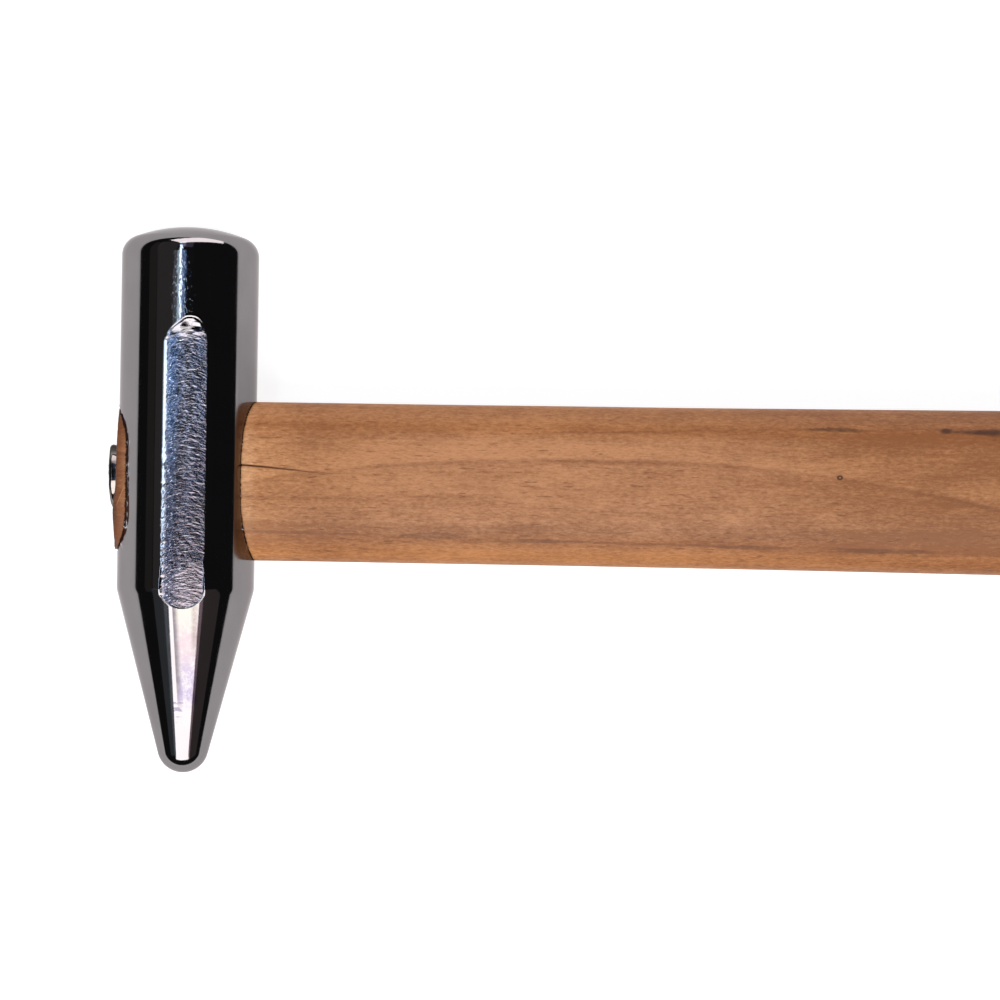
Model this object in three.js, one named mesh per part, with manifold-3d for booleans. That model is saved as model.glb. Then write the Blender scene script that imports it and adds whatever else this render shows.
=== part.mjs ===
// Auto body hammer: a turned steel head with a domed face and a bullet pick, wedged on a beech handle.
// Sizes are in millimetres, +Z is up. The hammer lies on one cheek of its head.
// +X runs along the handle to its butt, +Y along the head to the domed face, -Y to the pick.
// The origin is on the lower cheek flat, under the centre of the eye.

import * as THREE from "three";
import { mergeVertices } from "three/addons/utils/BufferGeometryUtils.js";
import Module from "manifold-3d";

const wasm = await Module();
wasm.setup();

// Head, measured along its axis from the centre of the eye
const headDiameter = 25;
const eyeToFace = 46;
const eyeToTip = 53.2;
const domeRadius = 28;
const faceEdgeRound = 3.6;
const eyeToCone = 19.9;
const coneBlendRadius = 4;
const noseRadius = 4.7;

// Cheek flats, ground into both sides of the bar and left to run out towards the face
const cheekDepth = 0.66;
const eyeToRunout = 25;
const runoutLength = 4.65;

// Eye: a long hole across the head, waisted in the middle
const eyeMouthLength = 26.2;
const eyeMouthWidth = 13.4;
const eyeWaistLength = 25;
const eyeWaistWidth = 12.6;

// Handle: height is along the head, thickness is across its cheeks
const shoulderLipAlong = 1.35;
const shoulderLipAcross = 0.8;
const swellHeight = 33;
const buttHeight = 30.6;
const buttThickness = 21;
const axisToSwell = 268;
const axisToButt = 307;
const buttRound = 5;
const swellPower = 2.2;
const faceSidePower = 3.2;
const pickSidePower = 2.5;

// Tongue: the part of the handle inside the eye, sawn off just proud of the head
const tongueFit = 0.25;
const shoulderFit = 0.3;
const tongueProud = 0.25;
const tongueCrown = 0.3;
const tongueRoot = 6;

// Saw kerf in the tongue and the wooden wedge driven into it
const kerfDepth = 19;
const kerfMouth = 3;
const kerfFoot = 1.3;
const kerfWedgeFit = 0.2;
const kerfWedgeShort = 1.6;

// Steel ring wedge, driven a little askew across the kerf
const ringMargin = 0.8;
const ringWall = 1.7;
const ringLength = 11;
const ringProud = 1.05;
const ringTilt = THREE.MathUtils.degToRad(3);
const ringRimRound = 0.45;
const ringEdgeWall = 0.55;
const ringFit = 0.2;
const barbCount = 3;
const barbDepth = 0.22;
const barbRise = 0.25;

// How far every cutting tool runs past the surface it cuts
const overrun = 3;

// Counts of facets
const headFacets = 88;
const edgeSteps = 6;
const domeSteps = 5;
const blendSteps = 3;
const noseSteps = 7;
const eyeArcSteps = 12;
const eyeStations = 8;
const handleFacets = 52;
const handleStations = 15;
const buttStations = 4;
const roundSteps = 4;
const tongueCrownSteps = 3;
const ringFacets = 48;
const rimSteps = 3;

const headRadius = headDiameter / 2;
const axisHeight = headRadius - cheekDepth;
const shoulderHeight = eyeMouthLength + 2 * shoulderLipAlong;
const shoulderThickness = eyeMouthWidth + 2 * shoulderLipAcross;
const swellThickness = 2 * axisHeight;
const quarterTurn = Math.PI / 2;
const woodEnd = -(headRadius + tongueProud);
const ringRadius = eyeMouthWidth / 2 - ringMargin;
const ringBoreRadius = ringRadius - ringWall;

const polishedSteel = new THREE.MeshStandardMaterial({ color: 0x9c9799, roughness: 0.12, metalness: 1 });
const wedgeSteel = new THREE.MeshStandardMaterial({ color: 0x8a8583, roughness: 0.35, metalness: 1 });
const beech = new THREE.MeshStandardMaterial({ color: 0xb47f5a, roughness: 0.6, metalness: 0 });
const paleBeech = new THREE.MeshStandardMaterial({ color: 0xc79a72, roughness: 0.7, metalness: 0 });

// A closed three.js geometry as a solid that can be joined and cut.
function solidFrom(geometry) {
  const bare = geometry.clone();
  bare.deleteAttribute("normal");
  bare.deleteAttribute("uv");
  const merged = mergeVertices(bare);
  return new wasm.Manifold(
    new wasm.Mesh({
      numProp: 3,
      vertProperties: new Float32Array(merged.attributes.position.array),
      triVerts: new Uint32Array(merged.index.array),
    }),
  );
}

// A finished solid as a three.js geometry.
function geometryFrom(solid) {
  const { vertProperties, triVerts } = solid.getMesh();
  const geometry = new THREE.BufferGeometry();
  geometry.setAttribute("position", new THREE.BufferAttribute(vertProperties, 3));
  geometry.setIndex(new THREE.BufferAttribute(triVerts, 1));
  geometry.computeVertexNormals();
  return geometry;
}

// Points of a circular arc in a lathe profile, from one angle to another, both ends included.
function arcPoints(centreR, centreY, radius, from, to, steps) {
  return Array.from({ length: steps + 1 }, (_, i) => {
    const angle = THREE.MathUtils.lerp(from, to, i / steps);
    return new THREE.Vector2(centreR + radius * Math.cos(angle), centreY + radius * Math.sin(angle));
  });
}

// A closed solid through a row of rings along +X, closed by a fan to one point at each end.
function loft(rings, startPoint, endPoint) {
  const count = rings[0].length;
  const points = [...rings.flat(), startPoint, endPoint];
  const start = rings.length * count;
  const end = start + 1;
  const lastRing = start - count;
  const faces = [];
  for (let j = 0; j < count; j++) {
    const next = (j + 1) % count;
    faces.push(start, next, j, end, lastRing + j, lastRing + next);
    for (let ring = 0; ring < lastRing; ring += count) {
      const [a, b, c, d] = [ring + j, ring + next, ring + count + j, ring + count + next];
      faces.push(a, b, c, b, d, c);
    }
  }
  return new THREE.BufferGeometry().setFromPoints(points).setIndex(faces);
}

function ringAt(x, outline) {
  return outline.map(([y, z]) => new THREE.Vector3(x, y, z));
}

// Outline of a long hole or tongue: two half circles and straight sides, its length along Y.
function obround(length, width) {
  const radius = width / 2;
  const reach = (length - width) / 2;
  const halfCircle = (centreY, from) =>
    Array.from({ length: eyeArcSteps + 1 }, (_, i) => {
      const angle = from + (i / eyeArcSteps) * Math.PI;
      return [centreY + radius * Math.cos(angle), radius * Math.sin(angle)];
    });
  return [...halfCircle(reach, -quarterTurn), ...halfCircle(-reach, quarterTurn)];
}

// Outline of the handle: a squared oval, squarer on the face's side than on the pick's side.
function squaredOval(height, thickness) {
  return Array.from({ length: handleFacets }, (_, i) => {
    const angle = (i / handleFacets) * 2 * Math.PI;
    const [c, s] = [Math.cos(angle), Math.sin(angle)];
    const power = 2 / (c > 0 ? faceSidePower : pickSidePower);
    return [
      (height / 2) * Math.sign(c) * Math.abs(c) ** power,
      (thickness / 2) * Math.sign(s) * Math.abs(s) ** power,
    ];
  });
}

// Size of the eye at a distance x from the head's axis: its waist opens to each mouth as a parabola.
function eyeSizeAt(x) {
  const flare = Math.min(1, (x / headRadius) ** 2);
  return [
    THREE.MathUtils.lerp(eyeWaistLength, eyeMouthLength, flare),
    THREE.MathUtils.lerp(eyeWaistWidth, eyeMouthWidth, flare),
  ];
}

function eyeCutter() {
  const end = headRadius + overrun;
  const rings = Array.from({ length: eyeStations + 1 }, (_, i) => {
    const x = THREE.MathUtils.lerp(-headRadius, headRadius, i / eyeStations);
    return ringAt(x, obround(...eyeSizeAt(x)));
  });
  const mouth = obround(eyeMouthLength, eyeMouthWidth);
  return loft(
    [ringAt(-end, mouth), ...rings, ringAt(end, mouth)],
    new THREE.Vector3(-end, 0, 0),
    new THREE.Vector3(end, 0, 0),
  );
}

// The bar turned to its outline: bullet nose, cone, blend, parallel body, rounded edge and domed face.
function headProfile() {
  const noseCentre = -(eyeToTip - noseRadius);
  const run = -eyeToCone - noseCentre;
  const slope = Math.atan(headRadius / run) - Math.asin(noseRadius / Math.hypot(headRadius, run));
  const blendR = headRadius - coneBlendRadius;
  const blendY = coneBlendRadius * Math.tan(slope / 2) - eyeToCone;
  const edgeR = headRadius - faceEdgeRound;
  const domeCentre = eyeToFace - domeRadius;
  const rim = Math.acos(edgeR / (domeRadius - faceEdgeRound));
  const edgeY = domeCentre + (domeRadius - faceEdgeRound) * Math.sin(rim);
  return [
    ...arcPoints(0, noseCentre, noseRadius, -quarterTurn, -slope, noseSteps),
    ...arcPoints(blendR, blendY, coneBlendRadius, -slope, 0, blendSteps),
    ...arcPoints(edgeR, edgeY, faceEdgeRound, 0, rim, edgeSteps),
    ...arcPoints(0, domeCentre, domeRadius, rim, quarterTurn, domeSteps).slice(1),
  ];
}

// The grinding tool of one cheek: a flat that ends in a ramp on the face's side.
function cheekCutter() {
  const outer = headRadius + overrun;
  const rampShare = (outer - axisHeight) / cheekDepth;
  const side = new THREE.Shape([
    new THREE.Vector2(-eyeToTip, axisHeight),
    new THREE.Vector2(eyeToRunout, axisHeight),
    new THREE.Vector2(eyeToRunout + runoutLength * rampShare, outer),
    new THREE.Vector2(-eyeToTip, outer),
  ]);
  const tool = new THREE.ExtrudeGeometry(side, { depth: headDiameter, bevelEnabled: false });
  tool.translate(0, 0, -headRadius);
  const [alongX, alongY, alongZ] = [
    new THREE.Vector3(1, 0, 0),
    new THREE.Vector3(0, 1, 0),
    new THREE.Vector3(0, 0, 1),
  ];
  return tool.applyMatrix4(new THREE.Matrix4().makeBasis(alongY, alongZ, alongX));
}

function hammerHead() {
  const bar = solidFrom(new THREE.LatheGeometry(headProfile(), headFacets));
  const upperCheek = cheekCutter();
  const lowerCheek = upperCheek.clone().rotateY(Math.PI);
  return bar
    .subtract(solidFrom(upperCheek))
    .subtract(solidFrom(lowerCheek))
    .subtract(solidFrom(eyeCutter()));
}

// The handle outside the head: it swells to the grip, draws in to the butt and is rounded over there.
function handleGrip() {
  const start = headRadius / 2;
  const roundStart = axisToButt - buttRound;
  const sizeAt = (x) => {
    if (x <= axisToSwell) {
      const share = (Math.max(0, x - headRadius) / (axisToSwell - headRadius)) ** swellPower;
      return [
        THREE.MathUtils.lerp(shoulderHeight, swellHeight, share),
        THREE.MathUtils.lerp(shoulderThickness, swellThickness, share),
      ];
    }
    const share = ((x - axisToSwell) / (axisToButt - axisToSwell)) ** 2;
    return [
      THREE.MathUtils.lerp(swellHeight, buttHeight, share),
      THREE.MathUtils.lerp(swellThickness, buttThickness, share),
    ];
  };
  const grip = Array.from({ length: handleStations }, (_, i) =>
    THREE.MathUtils.lerp(headRadius, axisToSwell, i / handleStations),
  );
  const butt = Array.from({ length: buttStations }, (_, i) =>
    THREE.MathUtils.lerp(axisToSwell, roundStart, i / buttStations),
  );
  const rings = [start, ...grip, ...butt].map((x) => ringAt(x, squaredOval(...sizeAt(x))));
  for (let i = 0; i <= roundSteps; i++) {
    const angle = (i / roundSteps) * quarterTurn;
    const x = roundStart + buttRound * Math.sin(angle);
    const inset = 2 * buttRound * (1 - Math.cos(angle));
    const [height, thickness] = sizeAt(x);
    rings.push(ringAt(x, squaredOval(height - inset, thickness - inset)));
  }
  return loft(rings, new THREE.Vector3(start, 0, 0), new THREE.Vector3(axisToButt, 0, 0));
}

// The tongue fills the eye, and its sawn end is a low crown.
function tongue() {
  const rootEnd = headRadius + shoulderFit + tongueRoot;
  const crownStart = woodEnd + tongueCrown;
  const sizeAt = (x) => eyeSizeAt(x).map((size) => size - 2 * tongueFit);
  const rings = [];
  for (let i = 1; i <= tongueCrownSteps; i++) {
    const share = i / tongueCrownSteps;
    const outline = obround(...sizeAt(crownStart).map((size) => size * share));
    rings.push(ringAt(woodEnd + tongueCrown * share ** 2, outline));
  }
  for (let i = 1; i <= eyeStations; i++) {
    const x = THREE.MathUtils.lerp(crownStart, rootEnd, i / eyeStations);
    rings.push(ringAt(x, obround(...sizeAt(x))));
  }
  return loft(rings, new THREE.Vector3(woodEnd, 0, 0), new THREE.Vector3(rootEnd, 0, 0));
}

// A tapered plate across the tongue, thick at the sawn end: the shape of the kerf and of its wedge.
function taperedPlate(from, to, mouth, foot) {
  const side = new THREE.Shape([
    new THREE.Vector2(from, -mouth / 2),
    new THREE.Vector2(to, -foot / 2),
    new THREE.Vector2(to, foot / 2),
    new THREE.Vector2(from, mouth / 2),
  ]);
  const plate = new THREE.ExtrudeGeometry(side, { depth: eyeMouthLength, bevelEnabled: false });
  plate.translate(0, 0, -eyeMouthLength / 2);
  return plate.rotateX(quarterTurn);
}

// Radius of the ring wedge's outside at a distance from its rim.
function ringRadiusAt(distance) {
  return THREE.MathUtils.lerp(ringRadius, ringBoreRadius + ringEdgeWall, distance / ringLength);
}

// The ring wedge: a rounded rim, barbs that let it in but not out, a thin leading edge and a plain bore.
function ringWedge() {
  const bore = ringBoreRadius;
  const round = ringRimRound;
  const barbPitch = (ringLength - 2 * round) / (barbCount + 1);
  const profile = [
    new THREE.Vector2(bore, ringLength),
    ...arcPoints(bore + round, round, round, Math.PI, 3 * quarterTurn, rimSteps),
    ...arcPoints(ringRadius - round, round, round, -quarterTurn, 0, rimSteps),
  ];
  for (let i = 1; i <= barbCount; i++) {
    const groove = round + i * barbPitch;
    const crest = groove + barbRise;
    profile.push(
      new THREE.Vector2(ringRadiusAt(groove) - barbDepth, groove),
      new THREE.Vector2(ringRadiusAt(crest), crest),
    );
  }
  profile.push(new THREE.Vector2(ringRadiusAt(ringLength), ringLength), profile[0].clone());
  return new THREE.LatheGeometry(profile, ringFacets);
}

// The seat of the ring wedge in the wood: its envelope, larger by the fit and open at the rim.
function ringSeat() {
  const bore = ringBoreRadius - ringFit;
  const end = ringLength + ringFit;
  const profile = [
    new THREE.Vector2(bore, end),
    new THREE.Vector2(bore, -overrun),
    new THREE.Vector2(ringRadius + ringFit, -overrun),
    new THREE.Vector2(ringRadius + ringFit, 0),
    new THREE.Vector2(ringRadiusAt(ringLength) + ringFit, end),
    new THREE.Vector2(bore, end),
  ];
  return new THREE.LatheGeometry(profile, ringFacets);
}

// Where the ring wedge goes: its rim just proud of the wood, its bore along the eye, turned by the tilt.
const ringPlace = new THREE.Matrix4()
  .makeRotationZ(ringTilt - quarterTurn)
  .setPosition(woodEnd - ringProud, 0, 0);

function handle() {
  const barOutside = new THREE.CylinderGeometry(
    headRadius + shoulderFit,
    headRadius + shoulderFit,
    2 * swellHeight,
    headFacets,
  );
  const kerf = taperedPlate(woodEnd - overrun, woodEnd + kerfDepth, kerfMouthAt(-overrun), kerfFoot);
  return solidFrom(handleGrip())
    .subtract(solidFrom(barOutside))
    .add(solidFrom(tongue()))
    .subtract(solidFrom(kerf))
    .subtract(solidFrom(ringSeat().applyMatrix4(ringPlace)));
}

// Width of the kerf at a depth below the sawn end.
function kerfMouthAt(depth) {
  return THREE.MathUtils.lerp(kerfMouth, kerfFoot, depth / kerfDepth);
}

function kerfWedge() {
  const depth = kerfDepth - kerfWedgeShort;
  const plate = taperedPlate(
    woodEnd - overrun,
    woodEnd + depth,
    kerfMouthAt(-overrun) - 2 * kerfWedgeFit,
    kerfMouthAt(depth) - 2 * kerfWedgeFit,
  );
  return solidFrom(plate)
    .intersect(solidFrom(tongue()))
    .subtract(solidFrom(ringSeat().applyMatrix4(ringPlace)));
}

function piece(name, geometry, material) {
  const mesh = new THREE.Mesh(geometry, material);
  mesh.name = name;
  return mesh;
}

const ring = piece("ring_wedge", ringWedge(), wedgeSteel);
ring.applyMatrix4(ringPlace);

// All four pieces are drawn about the head's axis, which lies one cheek's distance above the bench.
const onHeadAxis = new THREE.Group();
onHeadAxis.position.z = axisHeight;
onHeadAxis.add(
  piece("hammer_head", geometryFrom(hammerHead()), polishedSteel),
  piece("handle", geometryFrom(handle()), beech),
  piece("kerf_wedge", geometryFrom(kerfWedge()), paleBeech),
  ring,
);

const hammer = new THREE.Group();
hammer.add(onHeadAxis);

export default hammer;
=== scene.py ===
"""Auto body hammer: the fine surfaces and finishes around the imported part.

Laid out as an add-on, run as a script.
"""

import math

import bmesh
import bpy
import numpy as np
from bpy.props import FloatProperty, FloatVectorProperty, PointerProperty
from mathutils import Matrix, Vector


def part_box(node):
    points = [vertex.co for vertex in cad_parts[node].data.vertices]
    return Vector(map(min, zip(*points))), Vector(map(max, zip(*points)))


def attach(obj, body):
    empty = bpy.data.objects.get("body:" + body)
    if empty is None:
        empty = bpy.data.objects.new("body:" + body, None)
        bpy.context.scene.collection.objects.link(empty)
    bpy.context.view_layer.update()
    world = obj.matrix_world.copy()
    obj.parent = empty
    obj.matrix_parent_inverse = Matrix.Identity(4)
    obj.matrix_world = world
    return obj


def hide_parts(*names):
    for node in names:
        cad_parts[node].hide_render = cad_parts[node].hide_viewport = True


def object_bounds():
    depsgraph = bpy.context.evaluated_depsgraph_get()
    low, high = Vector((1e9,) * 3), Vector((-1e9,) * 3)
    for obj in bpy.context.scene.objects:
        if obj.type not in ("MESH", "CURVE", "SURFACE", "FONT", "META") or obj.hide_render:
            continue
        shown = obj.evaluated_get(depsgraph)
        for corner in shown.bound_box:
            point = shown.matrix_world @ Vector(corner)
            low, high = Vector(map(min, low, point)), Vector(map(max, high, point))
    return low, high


bl_info = {
    "name": "Auto body hammer",
    "version": (1, 0, 0),
    "blender": (4, 5, 0),
    "location": "View3D > Sidebar > Hammer",
    "description": "Builds a wedged body hammer with a bullet pick around its packed frame",
    "category": "Object",
}

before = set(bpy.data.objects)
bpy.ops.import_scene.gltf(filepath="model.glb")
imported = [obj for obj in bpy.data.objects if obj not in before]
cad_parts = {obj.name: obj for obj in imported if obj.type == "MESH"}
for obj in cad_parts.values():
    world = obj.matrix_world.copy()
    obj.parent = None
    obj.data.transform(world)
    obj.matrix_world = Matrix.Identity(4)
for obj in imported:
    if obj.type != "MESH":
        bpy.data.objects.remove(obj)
CAD_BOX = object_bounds()

MM = 0.001
HEAD_LOW, HEAD_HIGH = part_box("hammer_head")
HANDLE_LOW, HANDLE_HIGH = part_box("handle")
RING_LOW, RING_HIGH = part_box("ring_wedge")
AXIS_HEIGHT = (HEAD_LOW.z + HEAD_HIGH.z) / 2
QUARTER = math.pi / 2


# Settings


def length(name, description, default):
    """A size in metres that the sidebar shows in the scene's unit."""
    return FloatProperty(name=name, description=description, default=default, unit="LENGTH", precision=5)


def tilt(name, description, degrees):
    """An angle, stored in radians and shown in degrees."""
    return FloatProperty(name=name, description=description, default=math.radians(degrees), subtype="ANGLE")


def tint(name, description, default):
    """A linear colour."""
    return FloatVectorProperty(
        name=name, description=description, default=default, size=3, min=0, max=1, subtype="COLOR"
    )


def plain(name, description, default):
    """A bare number."""
    return FloatProperty(name=name, description=description, default=default, precision=3)


def srgb(red, green, blue):
    """The linear colour of an 8-bit display colour."""
    shares = np.array([red, green, blue]) / 255
    low, high = shares / 12.92, ((shares + 0.055) / 1.055) ** 2.4
    return tuple(float(v) for v in np.where(shares <= 0.04045, low, high))


class HeadSettings(bpy.types.PropertyGroup):
    """Sizes and finish of the steel head, measured from the centre of the eye."""

    radius: length("Radius", "Half the diameter of the bar", (HEAD_HIGH.x - HEAD_LOW.x) / 2)
    face_reach: length("Face reach", "From the eye to the top of the dome", HEAD_HIGH.y)
    pick_reach: length("Pick reach", "From the eye to the tip of the nose", -HEAD_LOW.y)
    dome_radius: length("Dome radius", "Radius of the face's dome", 28 * MM)
    face_round: length("Face edge", "Radius of the rounding round the face", 3.6 * MM)
    face_lean: tilt("Face lean", "How far the ground face leans towards the handle", 0.4)
    face_tip: tilt("Face tip", "How far the ground face leans towards the upper cheek", 2.7)
    cone_start: length("Cone start", "From the eye to the start of the cone", 19.9 * MM)
    cone_blend: length("Cone blend", "Radius that blends the body into the cone", 4 * MM)
    nose_radius: length("Nose radius", "Radius of the bullet nose", 4.7 * MM)
    cheek_depth: length("Cheek depth", "How deep the cheeks are ground", -HEAD_LOW.z)
    runout_start: length("Run-out start", "From the eye to where the grinding rises", 25 * MM)
    runout_length: length("Run-out length", "Length of the rising end of the grinding", 4.65 * MM)
    edge_round: length("Cheek edge", "Depth of the rounding of the cheeks' edges", 0.04 * MM)
    worn_from: length("Worn from", "From the cheek's middle to its worn edge on the wedge's side", 1.1 * MM)
    worn_radius: length("Worn radius", "Radius of the worn edge", 24 * MM)
    worn_lift: length("Worn lift", "How much higher the cheek is left at the worn edge", 0.09 * MM)
    pick_drop: length("Pick drop", "How much deeper the cheek is ground at the pick's end", 0.45 * MM)
    pick_end: length("Pick end", "From the eye to the cheek's end on the cone", 23.1 * MM)
    end_radius: length("End radius", "Radius of the cheek's round end on the cone", 4.4 * MM)
    mark_depth: length("Mark depth", "Depth of the grinding marks", 0.032 * MM)
    mark_pitch: length("Mark pitch", "Distance between grinding marks", 0.26 * MM)
    mark_run: length("Mark run", "Length of one grinding mark", 0.85 * MM)
    mark_radius: length("Mark radius", "Radius of the arcs that the grinding left", 6.5 * MM)
    mark_centre: length("Mark centre", "How far those arcs' centres lie towards the handle", 0.8 * MM)
    mouth_length: length("Eye mouth length", "Length of the eye's mouth", 26.2 * MM)
    mouth_width: length("Eye mouth width", "Width of the eye's mouth", 13.4 * MM)
    waist_length: length("Eye waist length", "Length of the eye in its middle", 25 * MM)
    waist_width: length("Eye waist width", "Width of the eye in its middle", 12.6 * MM)
    lip: length("Eye lip", "Radius of the eye's edge", 0.3 * MM)
    colour: tint("Plating", "Colour of the bright plating", (0.208, 0.195, 0.198))
    ground_colour: tint("Ground steel", "Colour of the ground cheeks", (0.190, 0.163, 0.180))
    polish: plain("Polish", "Roughness of the plating", 0.07)
    grit: plain("Grit", "Roughness of the ground cheeks", 0.17)


class HandleSettings(bpy.types.PropertyGroup):
    """Sizes and finish of the beech handle, measured from the head's axis."""

    fit: length("Shoulder fit", "Gap between the shoulder and the head", 0.05 * MM)
    shoulder_height: length("Shoulder height", "Height at the head", 28.9 * MM)
    shoulder_thickness: length("Shoulder thickness", "Thickness at the head", 15 * MM)
    swell_height: length("Swell height", "Height at the grip", HANDLE_HIGH.y - HANDLE_LOW.y)
    swell_thickness: length("Swell thickness", "Thickness at the grip", HANDLE_HIGH.z - HANDLE_LOW.z)
    butt_height: length("Butt height", "Height at the butt", 30.6 * MM)
    butt_thickness: length("Butt thickness", "Thickness at the butt", 21 * MM)
    swell_at: length("Swell at", "From the head's axis to the thickest place", 268 * MM)
    reach: length("Reach", "From the head's axis to the butt", HANDLE_HIGH.x)
    butt_round: length("Butt round", "Radius of the rounding of the butt", 5 * MM)
    tongue_fit: length("Tongue fit", "Gap between the tongue and the eye", 0.2 * MM)
    sawn_end: length("Sawn end", "From the head's axis to the sawn end", 12.85 * MM)
    sawn_lean: tilt("Sawn lean", "How far the sawn end leans", 1.1)
    swelling: length("Swelling", "How far the ring wedge has pushed the sawn end out", 0.33 * MM)
    crack_length: length("Crack length", "Length of the drying crack", 16.5 * MM)
    crack_depth: length("Crack depth", "Depth of the drying crack", 0.8 * MM)
    crack_width: length("Crack width", "Half width of the drying crack at the head", 0.18 * MM)
    pale: tint("Pale wood", "Colour of the early wood", srgb(184, 129, 84))
    brown: tint("Brown wood", "Colour of the late wood", srgb(133, 83, 47))
    fleck: tint("Fleck", "Colour of the ray flecks and growth lines", srgb(100, 54, 30))
    end_grain: tint("End grain", "Colour of the sawn end", srgb(120, 80, 60))


class WedgeSettings(bpy.types.PropertyGroup):
    """Sizes and finish of the two wedges."""

    ring_radius: length("Ring radius", "Outside radius of the ring wedge's rim", 5.95 * MM)
    ring_wall: length("Ring wall", "Wall of the ring wedge at its rim", 1.7 * MM)
    ring_edge: length("Ring edge", "Wall of the ring wedge at its leading edge", 0.55 * MM)
    ring_length: length("Ring length", "Length of the ring wedge", 11 * MM)
    ring_round: length("Ring rim", "Radius of the rim's rounding", 0.62 * MM)
    ring_reach: length("Ring reach", "From the head's axis to the middle of the rim", 13.96 * MM)
    ring_offset: length("Ring offset", "How far the ring sits towards the face", 0.35 * MM)
    ring_tilt: tilt("Ring tilt", "How far the ring leans", 1.1)
    ring_bruise: length("Ring bruise", "How far the rim's lower end is beaten down", 0.35 * MM)
    kerf_depth: length("Kerf depth", "Depth of the saw kerf", 19 * MM)
    kerf_mouth: length("Kerf mouth", "Width of the kerf at the sawn end", 3 * MM)
    kerf_foot: length("Kerf foot", "Width of the kerf at its foot", 1.3 * MM)
    kerf_fit: length("Kerf fit", "Gap between the kerf and its wedge", 0.06 * MM)
    kerf_short: length("Wedge short", "How far the wedge stops from the kerf's foot", 1.6 * MM)
    steel: tint("Steel", "Colour of the ring wedge", (0.20, 0.178, 0.165))
    wood: tint("Wedge wood", "Colour of the wooden wedge", srgb(196, 150, 110))


class StageSettings(bpy.types.PropertyGroup):
    """Camera, floor and lamps."""

    camera_distance: length("Camera distance", "From the camera to the plane of the hammer's axes", 1.0)
    frame_width: length("Frame width", "What the picture spans at that plane", 182 * MM)
    aim_x: length("Aim X", "Where the camera points, along the handle", 57 * MM)
    aim_y: length("Aim Y", "Where the camera points, along the head", -2.7 * MM)
    roll: tilt("Roll", "How far the camera is rolled", 0.92)
    floor_colour: tint("Floor", "Colour of the floor", (0.40, 0.40, 0.40))
    floor_glow: plain("Floor glow", "Strength of the floor's own white", 0.85)


# Shapes


def smooth(value):
    """Eases a share between 0 and 1: three times its square less twice its cube."""
    share = np.clip(value, 0, 1)
    return share * share * (3 - 2 * share)


def lattice(column, row, seed):
    """A fixed pseudo-random number from 0 to 1 for each whole lattice point, by integer hashing."""
    by_column, by_row, by_seed, mixer = HASH_PRIMES
    mixed = column.astype(np.int64) * by_column + row.astype(np.int64) * by_row + seed * by_seed
    mixed = mixed & WHOLE_MASK
    mixed = ((mixed ^ (mixed >> 13)) * mixer) & WHOLE_MASK
    return ((mixed ^ (mixed >> 16)) & LOW_MASK) / LOW_MASK


HASH_PRIMES = (374761393, 668265263, 1442695041, 1274126177)
WHOLE_MASK = 0xFFFFFFFF
LOW_MASK = 0xFFFF


def noise(u, v, seed):
    """Value noise from -1 to 1: random numbers on a unit lattice, eased between the four nearest."""
    column, row = np.floor(u), np.floor(v)
    a, b = smooth(u - column), smooth(v - row)
    low = lattice(column, row, seed) * (1 - a) + lattice(column + 1, row, seed) * a
    high = lattice(column, row + 1, seed) * (1 - a) + lattice(column + 1, row + 1, seed) * a
    return 2 * (low * (1 - b) + high * b) - 1


def strokes(across, run, seed):
    """Noise from -1 to 1 in rows: each row is its own run of random numbers, shifted by a random amount."""
    row = np.floor(across)

    def one_row(row):
        shifted = run + ROW_SHIFT * lattice(row, 0 * row, seed)
        column = np.floor(shifted)
        share = smooth(shifted - column)
        return lattice(column, row, seed + 1) * (1 - share) + lattice(column + 1, row, seed + 1) * share

    share = smooth(across - row)
    return 2 * (one_row(row) * (1 - share) + one_row(row + 1) * share) - 1


ROW_SHIFT = 5


def soft_lower(a, b, reach):
    """The lower of two heights, their crossing rounded where they differ by less than the reach."""
    share = np.maximum(reach - np.abs(a - b), 0) / reach
    return np.minimum(a, b) - share**2 * reach / 4


def arc(centre_r, centre_y, radius, start, end, steps):
    """Points (distance from the axis, place along it) of an arc, both ends included."""
    angle = np.linspace(start, end, steps + 1)
    return np.stack([centre_r + radius * np.cos(angle), centre_y + radius * np.sin(angle)], axis=-1)


def strip_faces(lower, upper):
    """Quads between two closed loops of vertex numbers of one length."""
    return np.stack([lower, np.roll(lower, -1), np.roll(upper, -1), upper], axis=-1)


def loop_faces(loops):
    """Quads between each pair of neighbouring loops, given as rows of vertex numbers."""
    return np.concatenate([strip_faces(a, b) for a, b in zip(loops[:-1], loops[1:])])


def fan_faces(loop, pole):
    """Triangles from a closed loop to one pole."""
    return np.stack([loop, np.roll(loop, -1), np.full_like(loop, pole)], axis=-1)


def mesh_object(name, points, face_groups, attributes=None):
    """A smooth-shaded object from points and groups of faces with one corner count each.

    The surface is closed, so its faces are turned outwards by Blender's own test.
    """
    mesh = bpy.data.meshes.new(name)
    corners = np.concatenate([group.ravel() for group in face_groups]).astype(np.int32)
    counts = np.concatenate([np.full(len(group), group.shape[1]) for group in face_groups])
    starts = np.concatenate([[0], np.cumsum(counts)[:-1]]).astype(np.int32)
    mesh.vertices.add(len(points))
    mesh.vertices.foreach_set("co", np.asarray(points, dtype=np.float32).ravel())
    mesh.loops.add(len(corners))
    mesh.loops.foreach_set("vertex_index", corners)
    mesh.polygons.add(len(counts))
    mesh.polygons.foreach_set("loop_start", starts)
    mesh.update(calc_edges=True)
    mesh.validate()
    for label, values in (attributes or {}).items():
        layer = mesh.attributes.new(label, "FLOAT", "POINT")
        layer.data.foreach_set("value", np.asarray(values, dtype=np.float32))
    outward(mesh)
    thing = bpy.data.objects.new(name, mesh)
    bpy.context.scene.collection.objects.link(thing)
    return thing


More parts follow.
